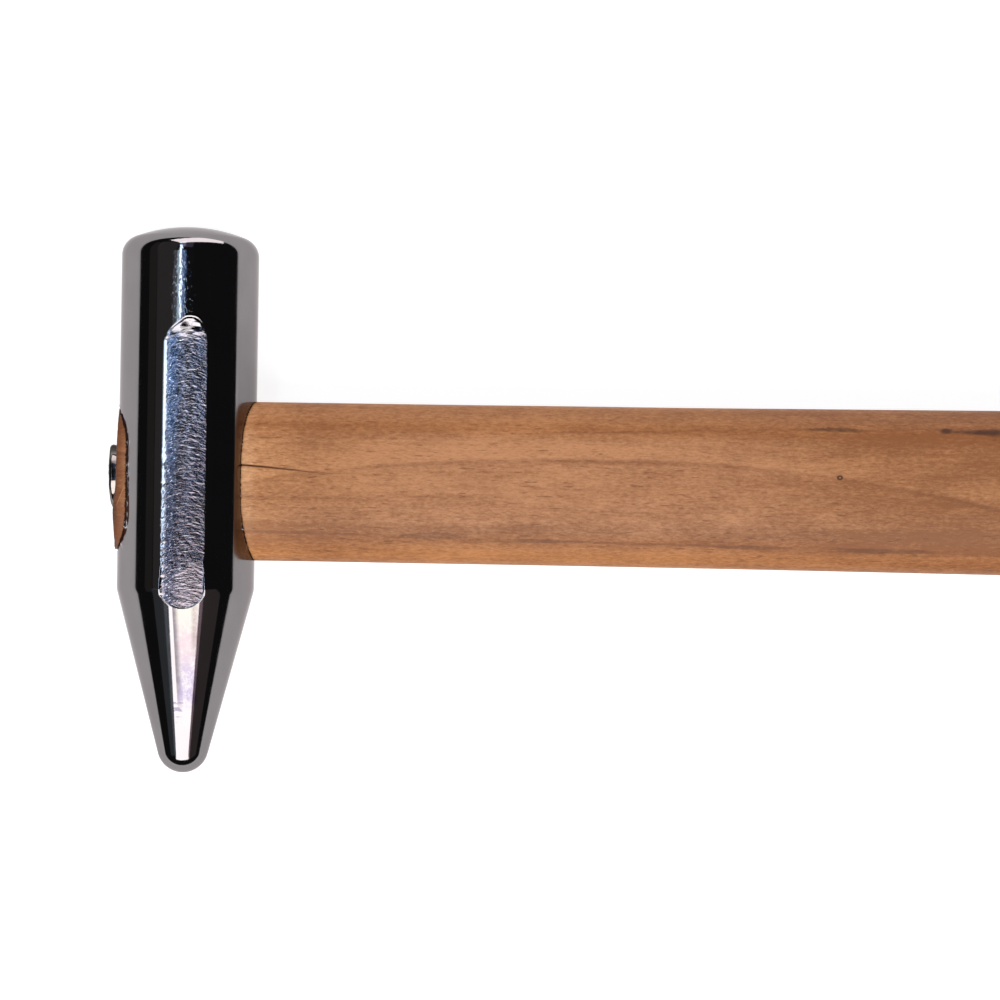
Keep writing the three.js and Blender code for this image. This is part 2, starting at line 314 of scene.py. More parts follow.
def outward(mesh):
    """Turns a closed mesh's faces outwards and shades it smooth."""
    work = bmesh.new()
    work.from_mesh(mesh)
    bmesh.ops.recalc_face_normals(work, faces=work.faces)
    for face in work.faces:
        face.smooth = True
    work.to_mesh(mesh)
    work.free()
    mesh.update()


def cut(thing, cutter):
    """Cuts a closed object by another and deletes the other."""
    modifier = thing.modifiers.new("cut", "BOOLEAN")
    modifier.operation = "DIFFERENCE"
    modifier.solver = "EXACT"
    modifier.object = cutter
    result = bpy.data.meshes.new_from_object(thing.evaluated_get(bpy.context.evaluated_depsgraph_get()))
    thing.modifiers.clear()
    thing.data = result
    result.name = thing.name
    bpy.data.objects.remove(cutter)


def place(thing, node, material):
    """Gives a finished piece its material, hangs it under the root body's empty and hides the part that it
    stands for.
    """
    thing.data.materials.clear()
    thing.data.materials.append(material)
    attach(thing, "root")
    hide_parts(node)


# Head


def head_rows(head):
    """The bar's outline as rows of (radius, place along), and the first and last row that cross the cheeks.

    The outline is a nose arc, a straight cone tangent to it, a blend arc, the straight body, an edge arc
    and the face's dome. Rows across the ground cheeks are close together, and there are four to each row
    beside them.
    """
    radius = head.radius
    nose_centre = head.nose_radius - head.pick_reach
    run = -head.cone_start - nose_centre
    slope = math.atan(radius / run) - math.asin(head.nose_radius / math.hypot(radius, run))
    blend_reach = head.cone_blend * math.tan(slope / 2)
    inner = radius - head.face_round
    dome_centre = head.face_reach - head.dome_radius
    rim = math.asin(inner / (head.dome_radius - head.face_round))
    edge_centre = dome_centre + (head.dome_radius - head.face_round) * math.cos(rim)
    nose = arc(0, nose_centre, head.nose_radius, -QUARTER, -slope, NOSE_STEPS)[1:]
    blend_centre = (radius - head.cone_blend, blend_reach - head.cone_start)
    blend = arc(*blend_centre, head.cone_blend, -slope, 0, BLEND_STEPS)
    edge = arc(inner, edge_centre, head.face_round, 0, QUARTER - rim, EDGE_STEPS)
    dome = arc(0, dome_centre, head.dome_radius, QUARTER - rim, QUARTER, DOME_STEPS)[1:-1]
    outline = np.concatenate([nose[-1:], blend, edge[:1]])
    fine_low, fine_high = FINE_RANGE
    cone_y = np.linspace(nose[-1, 1], fine_low, CONE_STEPS + 1)[1:-1]
    fine_y = np.linspace(fine_low, fine_high, FINE_STEPS + 1)
    body_y = np.linspace(fine_high, edge[0, 1], BODY_STEPS + 1)[1:-1]
    middle_y = np.concatenate([cone_y, fine_y, body_y])
    middle = np.stack([np.interp(middle_y, outline[:, 1], outline[:, 0]), middle_y], axis=-1)
    rows = np.concatenate([nose, middle, edge, dome])
    first = len(nose) + len(cone_y)
    return rows, first, first + FINE_STEPS


NOSE_STEPS = 18
BLEND_STEPS = 6
EDGE_STEPS = 14
DOME_STEPS = 12
CONE_STEPS = 14
BODY_STEPS = 14
FINE_STEPS = 572
FINE_RANGE = (-24.8 * MM, 30.4 * MM)
COARSE = 4
CHEEK_HALF = 4.6 * MM
CHEEK_COLUMNS = 27
SIDE_COLUMNS = 52
EYE_MARGIN = 2.2 * MM
PATCH_STEPS = 12
PATCH_POWER = 1.6
NICK_COARSE = 0.7
NICK_LEVEL = 0.3
NICK_GROWTH, BURR_GROWTH, TORN_GROWTH = 4, 20, 10
NICK_PITCH = 0.6 * MM
NICK_RUN = 2.1 * MM
BURR = 0.16 * MM
BURR_PITCH = 0.5 * MM
BURR_SIDE = 0.8
BURR_SPOTS = (6.8 * MM, 2.6 * MM, 0.9 * MM, -8.3 * MM, -9.4 * MM)
SPOT_BURR = 2.2 * BURR
SPOT_REACH = 0.25 * MM
BARE_BURR = 1.2
BARE_FROM = 0.35
LIP_STEPS = 4
WALL_STEPS = 10
ARC_SHARE = 0.95
FINE_SHARE = 0.65
SLOW_PITCHES = 7
SLOW_RUNS = 2
COARSE_WEIGHT, FINE_WEIGHT, SLOW_WEIGHT = 0.6, 0.4, 0.7
START_WANDER = 0.1 * MM
START_PITCH = 1.1 * MM
RAMP_SOFT = 0.35 * MM
RAMP_SHARE = 0.6
RAMP_LEAN = 0.06
RAMP_CLEAN = 0.85
RAMP_FADE = 2.5
SLOT_HALF = 3.9 * MM
SLOT_FROM = -14 * MM
SLOT_EASE = 1 * MM
WALL_SLOPE = 3
DROP_FROM = -15 * MM
DROP_POWER = 1.3
LEAN_MARGIN = 2 * MM
WORN_SHIFT = 0.25 * MM
WORN_WOBBLE = 0.28 * MM
WOBBLE_FROM = 12 * MM
WOBBLE_PITCH = 0.55 * MM
WOBBLE_RUN = 1.6 * MM
EDGE_FROM = 1.9 * MM
EDGE_EASE = 0.4 * MM
EDGE_GRIT = 1.6
EDGE_MARK_LOSS = 0.5
EDGE_POLISH = 0.85
CHATTER = 0.05 * MM
CHATTER_PITCH = 0.9 * MM
CHATTER_RUN = 1.3 * MM
CHATTER_PHASE = (0.4, 0.3)
CHATTER_RISE = 4
CHATTER_END = 2.4
RAMP_MARGIN = 2 * MM
CHEEK_MARGIN = 1.02
GRIT_EASE = 0.05 * MM
SHELF = 0.075 * MM
SHELF_FROM = 0.8 * MM
SHELF_EASE = 1 * MM
SHELF_FADE = 0.01 * MM
FACE_FROM = 0.8
FACE_EASE = 0.13
FACE_BACK = 0.04 * MM


def head_columns(head):
    """Angles round the bar from the upper cheek towards the handle.

    They are even in width on the cheeks and even in angle between them.
    """
    cheek = np.arcsin(np.linspace(0, CHEEK_HALF, CHEEK_COLUMNS + 1) / head.radius)
    side = np.linspace(cheek[-1], math.pi - cheek[-1], SIDE_COLUMNS + 1)
    half = np.concatenate([cheek, side[1:-1], math.pi - cheek[::-1]])
    return np.concatenate([half, 2 * math.pi - half[-2:0:-1]])


def mark_place(head, x, y):
    """Where a point lies across the marks: its place along the head, less the height of the wheel's arc."""
    limit = ARC_SHARE * head.mark_radius
    reach = np.clip(x - head.mark_centre, -limit, limit)
    return y - np.sqrt(head.mark_radius**2 - reach**2)


def cheek_marks(head, x, y, seed):
    """Height of the grinding marks: strokes along the wheel's arcs, a finer set, and a slow swell."""
    across = mark_place(head, x, y)
    coarse = strokes(across / head.mark_pitch, x / head.mark_run, seed)
    fine = strokes(across / (FINE_SHARE * head.mark_pitch), x / (FINE_SHARE * head.mark_run), seed + 5)
    slow = noise(y / (SLOW_PITCHES * head.mark_pitch), x / (SLOW_RUNS * head.mark_run), seed + 3)
    return head.mark_depth * (COARSE_WEIGHT * coarse + FINE_WEIGHT * fine + SLOW_WEIGHT * slow)


def cheek_surface(head, x, y, seed):
    """Height of a ground cheek over the head's axis, and how rough it is, from 0 to 1.

    The plane leans a little and rolls over a worn edge on the wedge's side as a parabola. Towards the pick
    it dips into a slot with steep sides and a round end. Under the face it ends in a smooth ramp that
    steepens as it rises and leans towards the handle. The marks fade on the ramp, and on the worn edge they
    grow from nothing at the face's end to a share of their depth at the pick's, where the edge itself
    wavers.
    """
    start = head.runout_start + START_WANDER * noise(x / START_PITCH, 0 * x, seed + 8)
    past_start = y - start
    rise = (past_start + np.sqrt(past_start**2 + RAMP_SOFT**2)) / 2 / head.runout_length
    leaned = RAMP_LEAN * x / head.cheek_depth * np.clip(rise, 0, 1)
    rise = rise * (RAMP_SHARE + (1 - RAMP_SHARE) * rise) - leaned

    past_centre = np.maximum(head.end_radius - head.pick_end - y, 0)
    past_side = (np.abs(x) - SLOT_HALF) * smooth((SLOT_FROM - y) / SLOT_EASE)
    past_wall = np.maximum(np.hypot(x, past_centre) - head.end_radius, past_side)
    wall = WALL_SLOPE * np.maximum(past_wall, 0)
    drop = head.pick_drop * np.clip((DROP_FROM - y) / (head.pick_end + DROP_FROM), 0, 1) ** DROP_POWER

    lean = head.worn_lift / (2 * head.worn_from + LEAN_MARGIN)
    level = head.radius - head.cheek_depth + head.worn_lift - lean * (x + head.worn_from)
    down = np.clip((head.runout_start - y) / (2 * head.runout_start), 0, 1)
    wobble = noise(y / WOBBLE_PITCH, x / WOBBLE_RUN, seed + 12)
    wobble = WORN_WOBBLE * smooth((WOBBLE_FROM - y) / WOBBLE_FROM) * wobble
    past_worn = np.maximum(-head.worn_from - WORN_SHIFT * down**2 + wobble - x, 0)
    worn = past_worn**2 / (2 * head.worn_radius)

    on_edge = smooth((past_worn - EDGE_FROM) / EDGE_EASE)
    edge_grit = 1 - on_edge + on_edge * np.minimum(EDGE_GRIT * down**2, 1)
    grit = (1 - RAMP_CLEAN * smooth(RAMP_FADE * rise)) * edge_grit
    marks = grit * (1 - EDGE_MARK_LOSS * on_edge) * cheek_marks(head, x, y, seed)
    chatter = noise(y / CHATTER_PITCH + CHATTER_PHASE[0], x / CHATTER_RUN + CHATTER_PHASE[1], seed + 9)
    chatter = CHATTER * chatter * smooth(CHATTER_RISE * rise) * smooth(2 - CHATTER_END * rise)
    height = level - worn - drop + wall + head.cheek_depth * rise
    return height + marks + chatter, grit * (1 - EDGE_POLISH * on_edge)


def head_points(head, radius, along, angle):
    """Places on the outside of the head: the turned bar, lowered to the ground height over each cheek.

    Where the ground height and the bar's height come close, the lower of the two is rounded into the other.
    On the ramp the ground is kept a shelf's depth under the bar. The face is sheared to its lean. Returns
    the points, how rough each was ground, and its place across the grinding marks.
    """
    x, up = radius * np.sin(angle), radius * np.cos(angle)
    height = np.abs(up)
    on_top = up >= 0
    upper, lower = (cheek_surface(head, side * x, along, seed) for side, seed in ((1, 11), (-1, 47)))
    ground, grit = (np.where(on_top, *pair) for pair in zip(upper, lower))
    before_face = along < head.runout_start + head.runout_length + RAMP_MARGIN
    on_cheek = (np.abs(x) < CHEEK_MARGIN * CHEEK_HALF) & before_face
    share = np.where(on_cheek, grit * smooth((height - ground) / GRIT_EASE), 0)
    gap = np.maximum(height - ground, 0)
    on_ramp = smooth((along - head.runout_start - SHELF_FROM) / SHELF_EASE)
    shelf = SHELF * (1 - np.exp(-gap / SHELF_FADE))
    ground = ground - np.maximum(shelf - gap, 0) * on_ramp
    height = np.where(on_cheek, soft_lower(height, ground, head.edge_round), height)
    face = smooth((along - FACE_FROM * head.face_reach) / (FACE_EASE * head.face_reach))
    upward = np.sign(up) * height * math.tan(head.face_tip) - FACE_BACK
    leaned = along + (upward - x * math.tan(head.face_lean)) * face
    marks = mark_place(head, np.where(on_top, x, -x), along)
    return np.stack([x, leaned, np.sign(up) * height + AXIS_HEIGHT], axis=-1), share, marks


def eye_size(head, x):
    """Length and width of the eye at a distance from the head's axis: a waist that opens as a parabola."""
    flare = np.minimum((x / head.radius) ** 2, 1)
    wide = head.waist_width + (head.mouth_width - head.waist_width) * flare
    return head.waist_length + (head.mouth_length - head.waist_length) * flare, wide


def obround_from(share, direction, size, extra=0.0):
    """Points of a long round-ended outline: a stretch of its middle line, plus its half width outwards."""
    long, wide = size
    middle = share * (long - wide) / 2
    half = wide / 2 + extra
    return np.stack([middle + half * direction[:, 0], half * direction[:, 1]], axis=-1)


def obround_frame(outline, size):
    """For points round an outline, the share along a long hole's middle line and the way out from it."""
    long, wide = size
    middle = (long - wide) / 2
    share = np.clip(outline[:, 0] / middle, -1, 1)
    away = outline - np.stack([share * middle, np.zeros(len(outline))], axis=-1)
    return share, away / np.linalg.norm(away, axis=1, keepdims=True)


def eye_loops(head, outline):
    """Loops of points from a grid's border to a mouth of the eye, over its lip and along its wall.

    The loops blend from the border to the mouth's outline, nicked all round and with a burr turned up on
    its edge. Then they turn over the lip as a quarter circle and follow the waisted eye. Returns the loops
    on the handle's side, each point's place round the mouth, how torn each loop is and the burr's height.
    """
    mouth = (head.mouth_length, head.mouth_width)
    share, direction = obround_frame(outline, mouth)
    turn = np.arctan2(direction[:, 1], direction[:, 0])
    place_round = share * head.mouth_length / 4 + turn * head.mouth_width / 2
    fine = noise(place_round / NICK_PITCH, 0 * share, 31)
    nicks = fine + NICK_COARSE * noise(place_round / NICK_RUN, 0 * share, 33)
    nicks = head.lip * (nicks + NICK_LEVEL)
    burr = BURR * np.maximum(noise(place_round / BURR_PITCH, 0 * share, 37), 0)
    on_upper = direction[:, 1] > BURR_SIDE
    for spot in BURR_SPOTS:
        burr += SPOT_BURR * np.exp(-(((outline[:, 0] - spot) / SPOT_REACH) ** 2)) * on_upper

    loops, torn = [], []
    for step in range(1, PATCH_STEPS + 1):
        t = 1 - (1 - step / PATCH_STEPS) ** PATCH_POWER
        nicked = obround_from(share, direction, mouth, head.lip + nicks * t**NICK_GROWTH)
        ring = outline * (1 - t) + nicked * t
        outside = np.sqrt(head.radius**2 - ring[:, 1:] ** 2) + burr[:, None] * t**BURR_GROWTH
        loops.append(np.concatenate([outside, ring], axis=1))
        torn.append(t**TORN_GROWTH)
    for step in range(1, LIP_STEPS + 1):
        turn = QUARTER * step / LIP_STEPS
        ring = obround_from(share, direction, mouth, (head.lip + nicks) * (1 - math.sin(turn)))
        deep = np.sqrt(head.radius**2 - ring[:, 1:] ** 2) - head.lip * (1 - math.cos(turn))
        loops.append(np.concatenate([deep + burr[:, None] * math.cos(turn), ring], axis=1))
        torn.append(1)
    lip_x = loops[-1][:, 0]
    for step in range(1, WALL_STEPS + 1):
        x = lip_x * (1 - step / WALL_STEPS)
        ring = obround_from(share, direction, eye_size(head, x))
        loops.append(np.concatenate([x[:, None], ring], axis=1))
        torn.append(0)
    loops = np.array(loops)
    loops[:, :, 2] += AXIS_HEIGHT
    return loops, place_round, torn, burr


def make_head_mesh(head):
    """The head as one closed surface: turned outside, two ground cheeks, two eye mouths and the eye's wall.

    The outside is a grid of rows and columns. A rectangle of it round each mouth is left out, and loops of
    points run from its border to the mouth's outline, over the lip and along the wall to the middle of the
    eye.
    """
    rows, first, last = head_rows(head)
    angle = head_columns(head)
    count = len(angle)
    half = count // 2
    radius, along = (np.broadcast_to(v[:, None], (len(rows), count)) for v in rows.T)
    points, ground, marks = head_points(head, radius, along, np.broadcast_to(angle, radius.shape))

    # Which grid points are used: every row over the cheeks, every fourth row beside them
    column = np.arange(count)
    from_cheek = np.minimum(column % half, half - column % half)
    over_cheek = from_cheek <= CHEEK_COLUMNS
    row = np.arange(len(rows))
    is_fine = (row > first) & (row < last) & ((row - first) % COARSE != 0)
    eye_half = math.acos((head.mouth_width / 2 + EYE_MARGIN) / head.radius)
    eye_first = int(np.searchsorted(angle, eye_half))
    eye_reach = head.mouth_length / 2 + EYE_MARGIN
    coarse_y = rows[first : last + 1 : COARSE, 1]
    low_row = first + COARSE * (int(np.searchsorted(coarse_y, -eye_reach)) - 1)
    high_row = first + COARSE * int(np.searchsorted(coarse_y, eye_reach))
    side = column % half
    in_eye = (side > eye_first) & (side < half - eye_first)
    used = ~(is_fine[:, None] & ~over_cheek[None, :])
    used &= ~(((row > low_row) & (row < high_row))[:, None] & in_eye[None, :])
    number = np.full(used.shape, -1)
    number[used] = np.arange(used.sum())

    # Faces of the grid
    next_column = (column + 1) % count
    cheek_step = over_cheek & over_cheek[next_column]
    even_rows = np.concatenate([row[:first], row[last:-1]])
    groups = [quads(number, row[:-1], row[1:], column[cheek_step], next_column[cheek_step])]
    a, b = column[~cheek_step], next_column[~cheek_step]
    groups.append(quads(number, even_rows, even_rows + 1, a, b))
    coarse = np.arange(first, last, COARSE)
    left_border, right_border = over_cheek[a], over_cheek[b]
    inside = ~left_border & ~right_border
    block = quads(number, coarse, coarse + COARSE, a[inside], b[inside])
    over_eye = eye_cells(coarse, a[inside], low_row, high_row, half, eye_first)
    groups.append(block[(block >= 0).all(axis=1) & ~over_eye])
    groups.append(border_cells(number, coarse, a[left_border], b[left_border]))
    groups.append(border_cells(number, coarse, b[right_border], a[right_border]))

    # Poles of the nose and the dome
    points, ground, marks = points[used], ground[used], marks[used]
    total = len(points)
    poles = np.array([[0, -head.pick_reach, AXIS_HEIGHT], [0, head.face_reach, AXIS_HEIGHT]])
    groups.append(fan_faces(number[0][::-1], total))
    groups.append(fan_faces(number[-1], total + 1))

    # The eye: one loop of border points for each mouth, mirrored, and one wall between them
    up_rows = np.arange(low_row, high_row, COARSE)
    across = np.arange(eye_first, half - eye_first)
    border = [(low_row, c) for c in across] + [(r, half - eye_first) for r in up_rows]
    border += [(high_row, c) for c in across[::-1] + 1] + [(r, eye_first) for r in up_rows[::-1] + COARSE]
    border = np.array(border)
    outline = np.stack([rows[border[:, 0], 1], head.radius * np.cos(angle[border[:, 1]])], axis=-1)
    loops, place_round, torn, burr = eye_loops(head, outline)
    size = len(border)
    handle_side = loops.reshape(-1, 3)
    wedge_side = handle_side[:-size] * np.array([-1, 1, 1])
    points = np.concatenate([points, poles, handle_side, wedge_side])
    near = total + 2 + np.arange(len(handle_side)).reshape(-1, size)
    far = near[:-1] + len(handle_side)
    mirrored = (count - border[:, 1]) % count
    groups.append(loop_faces([number[border[:, 0], border[:, 1]], *near]))
    groups.append(loop_faces([number[border[:, 0], mirrored], *far, near[-1]]))

    # What the material reads at each point
    torn = np.repeat(np.array(torn), size)
    bare = torn * np.tile(np.clip(burr / (BARE_BURR * BURR) - BARE_FROM, 0, 1), len(loops))
    round_all = np.tile(place_round, len(loops))
    ground = np.concatenate([ground, [0, 0], torn, torn[:-size]])
    marks = np.concatenate([marks, [0, 0], round_all, round_all[:-size]]) / MM
    bare = np.concatenate([np.zeros(total + 2), bare, bare[:-size]])
    attributes = {"ground": ground, "marks": marks, "bare": bare}
    groups = [group[(group >= 0).all(axis=1)] for group in groups]
    return mesh_object("steel_head", points, groups, attributes)


def quads(number, low, high, left, right):
    """Quads of the grid between each pair of rows and each pair of columns."""
    corners = [number[np.ix_(r, c)] for r, c in ((low, left), (low, right), (high, right), (high, left))]
    return np.stack([corner.ravel() for corner in corners], axis=-1)


def eye_cells(coarse, left, low_row, high_row, half, eye_first):
    """True for each coarse cell that lies inside a rectangle left out round an eye mouth."""
    side = left % half
    in_columns = (side >= eye_first) & (side < half - eye_first)
    in_rows = (coarse >= low_row) & (coarse < high_row)
    return (in_rows[:, None] & in_columns[None, :]).ravel()


def border_cells(number, coarse, near, far):
    """Cells between a column with every row and a column with every fourth: seven-cornered faces."""
    chain = [number[np.ix_(coarse + k, near)].ravel() for k in range(COARSE, -1, -1)]
    ends = [number[np.ix_(coarse, far)].ravel(), number[np.ix_(coarse + COARSE, far)].ravel()]
    return np.stack(chain + ends, axis=-1)


# Handle


HANDLE_COLUMNS = 220
TONGUE_STEPS = 12
SAWN_STEPS = 30
SHOULDER_STEPS = 5
NEAR_STEP = 0.42 * MM
FAR_STEP = 1.6 * MM
NEAR_REACH = 32 * MM
BUTT_STEPS = 10
BUTT_RINGS = 8
FACE_SIDE_POWER = 3.2
PICK_SIDE_POWER = 2.5
SWELL_POWER = 2.2
CAD_RADIUS = (HEAD_HIGH.x - HEAD_LOW.x) / 2
SAWN_CROWN = 0.3 * MM
SWELLING_AT = -5.9 * MM
SWELLING_REACH = 3.2 * MM
SAW_DEPTH = 0.05 * MM
SAW_LEAN = 0.35
SAW_PITCH = 0.5 * MM
SAW_RUN = 4 * MM
CRACK_START = (9.6 * MM, 2.95 * MM)
CRACK_SLOPE = -0.079
CRACK_SIDE = 0.155
CRACK_SPREAD = 0.085
CRACK_DENSITY = 4
CRACK_WANDER = 0.12 * MM
CRACK_PITCH = 2.2 * MM
CRACK_CLOSING = 0.7
CRACK_END = 0.35
SECTION_STEPS = 8001
SECTION_SHAPE = (14.5, 8.5)
SHOULDER_FUZZ = 0.10 * MM
FUZZ_COLUMNS = 2.3
SWAY = 0.05 * MM
SWAY_RUN = 23 * MM
SWAY_TURNS = 6


def squared(turn, power):
    """A superellipse of unit half sizes: cosine and sine raised to a power, with their signs kept."""
    c, s = np.cos(turn), np.sin(turn)
    return np.stack([np.sign(c) * np.abs(c) ** power, np.sign(s) * np.abs(s) ** power], axis=-1)


def unit_section():
    """A squared oval of unit half height and half thickness, as points evenly spaced round it.

    Each quarter is a superellipse, squarer on the face's side. The points are found on a dense copy by its
    length, and lie four times closer where the crack runs along the upper side.
    """
    turn = np.linspace(0, 2 * math.pi, SECTION_STEPS)
    power = 2 / np.where(np.cos(turn) > 0, FACE_SIDE_POWER, PICK_SIDE_POWER)
    dense = squared(turn, power)
    step = np.linalg.norm(np.diff(dense * np.array(SECTION_SHAPE), axis=0), axis=1)
    middle = (dense[1:] + dense[:-1]) / 2
    near_crack = (middle[:, 1] > 0.5) & (np.abs(middle[:, 0] - CRACK_SIDE) < CRACK_SPREAD)
    place_along = np.concatenate([[0], np.cumsum(step * np.where(near_crack, CRACK_DENSITY, 1))])
    wanted = np.linspace(0, place_along[-1], HANDLE_COLUMNS + 1)[:-1]
    return np.stack([np.interp(wanted, place_along, dense[:, k]) for k in (0, 1)], axis=-1)


def handle_size(handle, x):
    """Half height and half thickness of the handle at a distance from the head's axis.

    Both grow as a power of the distance up to the grip, and draw in as a parabola from there to the butt.
    """
    start = CAD_RADIUS
    grow = np.clip((x - start) / (handle.swell_at - start), 0, 1) ** SWELL_POWER
    close = np.clip((x - handle.swell_at) / (handle.reach - handle.swell_at), 0, 1) ** 2
    high = handle.shoulder_height + (handle.swell_height - handle.shoulder_height) * grow
    thick = handle.shoulder_thickness + (handle.swell_thickness - handle.shoulder_thickness) * grow
    high = high + (handle.butt_height - handle.swell_height) * close
    thick = thick + (handle.butt_thickness - handle.swell_thickness) * close
    return high / 2, thick / 2


def crack_dip(handle, x, y):
    """Depth of the drying crack: a groove that wanders, closes and gets shallow away from the head."""
    along = (x - CRACK_START[0]) / handle.crack_length
    wander = CRACK_WANDER * noise(x / CRACK_PITCH, 0 * x, 5)
    line = CRACK_START[1] + CRACK_SLOPE * (x - CRACK_START[0]) + wander
    open_share = np.clip(1 - along, 0, 1) ** CRACK_CLOSING
    width = handle.crack_width * (CRACK_END + (1 - CRACK_END) * open_share)
    across = np.clip(1 - np.abs(y - line) / width, 0, 1)
    return handle.crack_depth * open_share * smooth(across) * (along < 1)


def sawn_surface(handle, ring, t):
    """How far out the sawn end reaches: a lean, a crown, a swelling beside the ring wedge, and saw marks.

    The swelling is a bell curve over the end's length, where the askew ring wedge has split the wood and
    pushed it out.
    """
    y, z = ring[:, 0], ring[:, 1]
    swelling = handle.swelling * np.exp(-(((y - SWELLING_AT) / SWELLING_REACH) ** 2))
    saw = SAW_DEPTH * noise((y + SAW_LEAN * z) / SAW_PITCH, z / SAW_RUN, 61)
    return -handle.sawn_end + math.tan(handle.sawn_lean) * y + SAWN_CROWN * t**2 - swelling + saw


def grip_loops(handle, head, unit, section):
    """Loops of the handle outside the head: from the fitted shoulder through the grip to the rounded butt.

    The shoulder lies on a cylinder round the head. Each loop is the unit section times the handle's size
    there, with a slow sway of the surface and the crack's groove. The butt turns in as a quarter circle.
    """
    seat = head.radius + handle.fit
    fuzz = noise(np.arange(HANDLE_COLUMNS) / FUZZ_COLUMNS, np.zeros(HANDLE_COLUMNS), 71)
    shoulder_x = np.sqrt(seat**2 - section[:, 1] ** 2) + SHOULDER_FUZZ * np.abs(fuzz)
    near = np.linspace(0, 1, int((NEAR_REACH - seat) / NEAR_STEP) + 1)
    places = [shoulder_x * (1 - t) + NEAR_REACH * t for t in near]
    butt_x = handle.reach - handle.butt_round
    far = np.linspace(NEAR_REACH, butt_x, int((butt_x - NEAR_REACH) / FAR_STEP) + 1)[1:]
    places += [np.full(len(unit), x) for x in far]
    away = unit / np.linalg.norm(unit, axis=1, keepdims=True)
    loops = []
    for x in places:
        high, thick = handle_size(handle, x)
        y, z = unit[:, 0] * high, unit[:, 1] * thick
        sway = SWAY * noise(x / SWAY_RUN, SWAY_TURNS * unit[:, 0], 3)
        dip = np.where(z > 0, crack_dip(handle, x, y), 0)
        loops.append(np.stack([x, y + sway * away[:, 0] / 2, z - dip - np.abs(sway) * away[:, 1]], axis=-1))
    for step in range(1, BUTT_STEPS + 1):
        turn = QUARTER * step / BUTT_STEPS
        x = handle.reach - handle.butt_round * (1 - math.sin(turn))
        inset = handle.butt_round * (1 - math.cos(turn))
        high, thick = handle_size(handle, np.array(x))
        ring = unit * np.array([high - inset, thick - inset])
        loops.append(np.concatenate([np.full((len(unit), 1), x), ring], axis=1))
    rim = loops[-1]
    for step in range(1, BUTT_RINGS):
        share = 1 - step / BUTT_RINGS
        loops.append(rim * np.array([1, share, share]))
    return loops


def tongue_loops(handle, head, section):
    """Loops of the handle inside the head: over the shoulder, along the tongue and over its sawn end."""
    seat = head.radius + handle.fit
    mouth = (head.mouth_length, head.mouth_width)
    share, direction = obround_frame(section, mouth)
    root = obround_from(share, direction, mouth, -handle.tongue_fit)
    loops = []
    for step in range(1, SHOULDER_STEPS + 1):
        t = step / SHOULDER_STEPS
        ring = section * (1 - t) + root * t
        loops.append(np.concatenate([np.sqrt(seat**2 - ring[:, 1:] ** 2), ring], axis=1))
    root_x = loops[-1][:, 0]
    edge_ring = obround_from(share, direction, eye_size(head, -handle.sawn_end), -handle.tongue_fit)
    edge_x = sawn_surface(handle, edge_ring, 1)
    for step in range(1, TONGUE_STEPS + 1):
        x = root_x + (edge_x - root_x) * step / TONGUE_STEPS
        ring = obround_from(share, direction, eye_size(head, x), -handle.tongue_fit)
        loops.append(np.concatenate([x[:, None], ring], axis=1))
    edge = loops[-1]
    for step in range(1, SAWN_STEPS):
        t = 1 - step / SAWN_STEPS
        ring = edge * np.array([1, t, t])
        ring[:, 0] = sawn_surface(handle, ring[:, 1:], t)
        loops.append(ring)
    return loops


def closed_tube(name, loops, start_x, end_x):
    """An object from a row of loops about the head's axis height, closed by a fan to a pole at each end."""
    everything = np.array(loops)
    points = everything.reshape(-1, 3)
    numbers = np.arange(len(points)).reshape(everything.shape[:2])
    poles = np.array([[start_x, 0, 0], [end_x, 0, 0]])
    fans = [fan_faces(numbers[0][::-1], len(points)), fan_faces(numbers[-1], len(points) + 1)]
    points = np.concatenate([points, poles]) + np.array([0, 0, AXIS_HEIGHT])
    return mesh_object(name, points, [loop_faces(list(numbers)), *fans])


def make_handle_mesh(handle, head):
    """The handle as one closed surface of loops: sawn end, tongue, shoulder, grip and butt."""
    unit = unit_section()
    section = unit * np.array(handle_size(handle, np.array(0.0)))
    inner = tongue_loops(handle, head, section)
    outer = grip_loops(handle, head, unit, section)
    return closed_tube("beech_handle", inner[::-1] + outer, -handle.sawn_end, handle.reach)


# Wedges


RING_COLUMNS = 144
RIM_STEPS = 6
BARBS = 3
BARB_DEPTH = 0.22 * MM
BARB_RISE = 0.25 * MM
OVERRUN = 3 * MM
SEAT_FIT = 0.05 * MM
PLATE_COLUMNS = 96
PLATE_LOOPS = 28
PLATE_POWER = 2 / 9
PLATE_FIT = 0.05 * MM
PLATE_CAP_SHARES = (0.75, 0.5, 0.25)
PLATE_FOOT_SHARES = (0.66, 0.33)
CRUSH_REACH = 1 * MM
CRUSH_DEPTH = 0.12 * MM
BORE_STEPS = 6
DENT_DEPTH = 0.09 * MM
DENT_FLOOR = 0.04 * MM
DENT_PITCH = 1.5 * MM
DENT_PHASE = 2.1
DENT_REACH = 2.2 * MM
BRUISE_REACH = 4.6 * MM


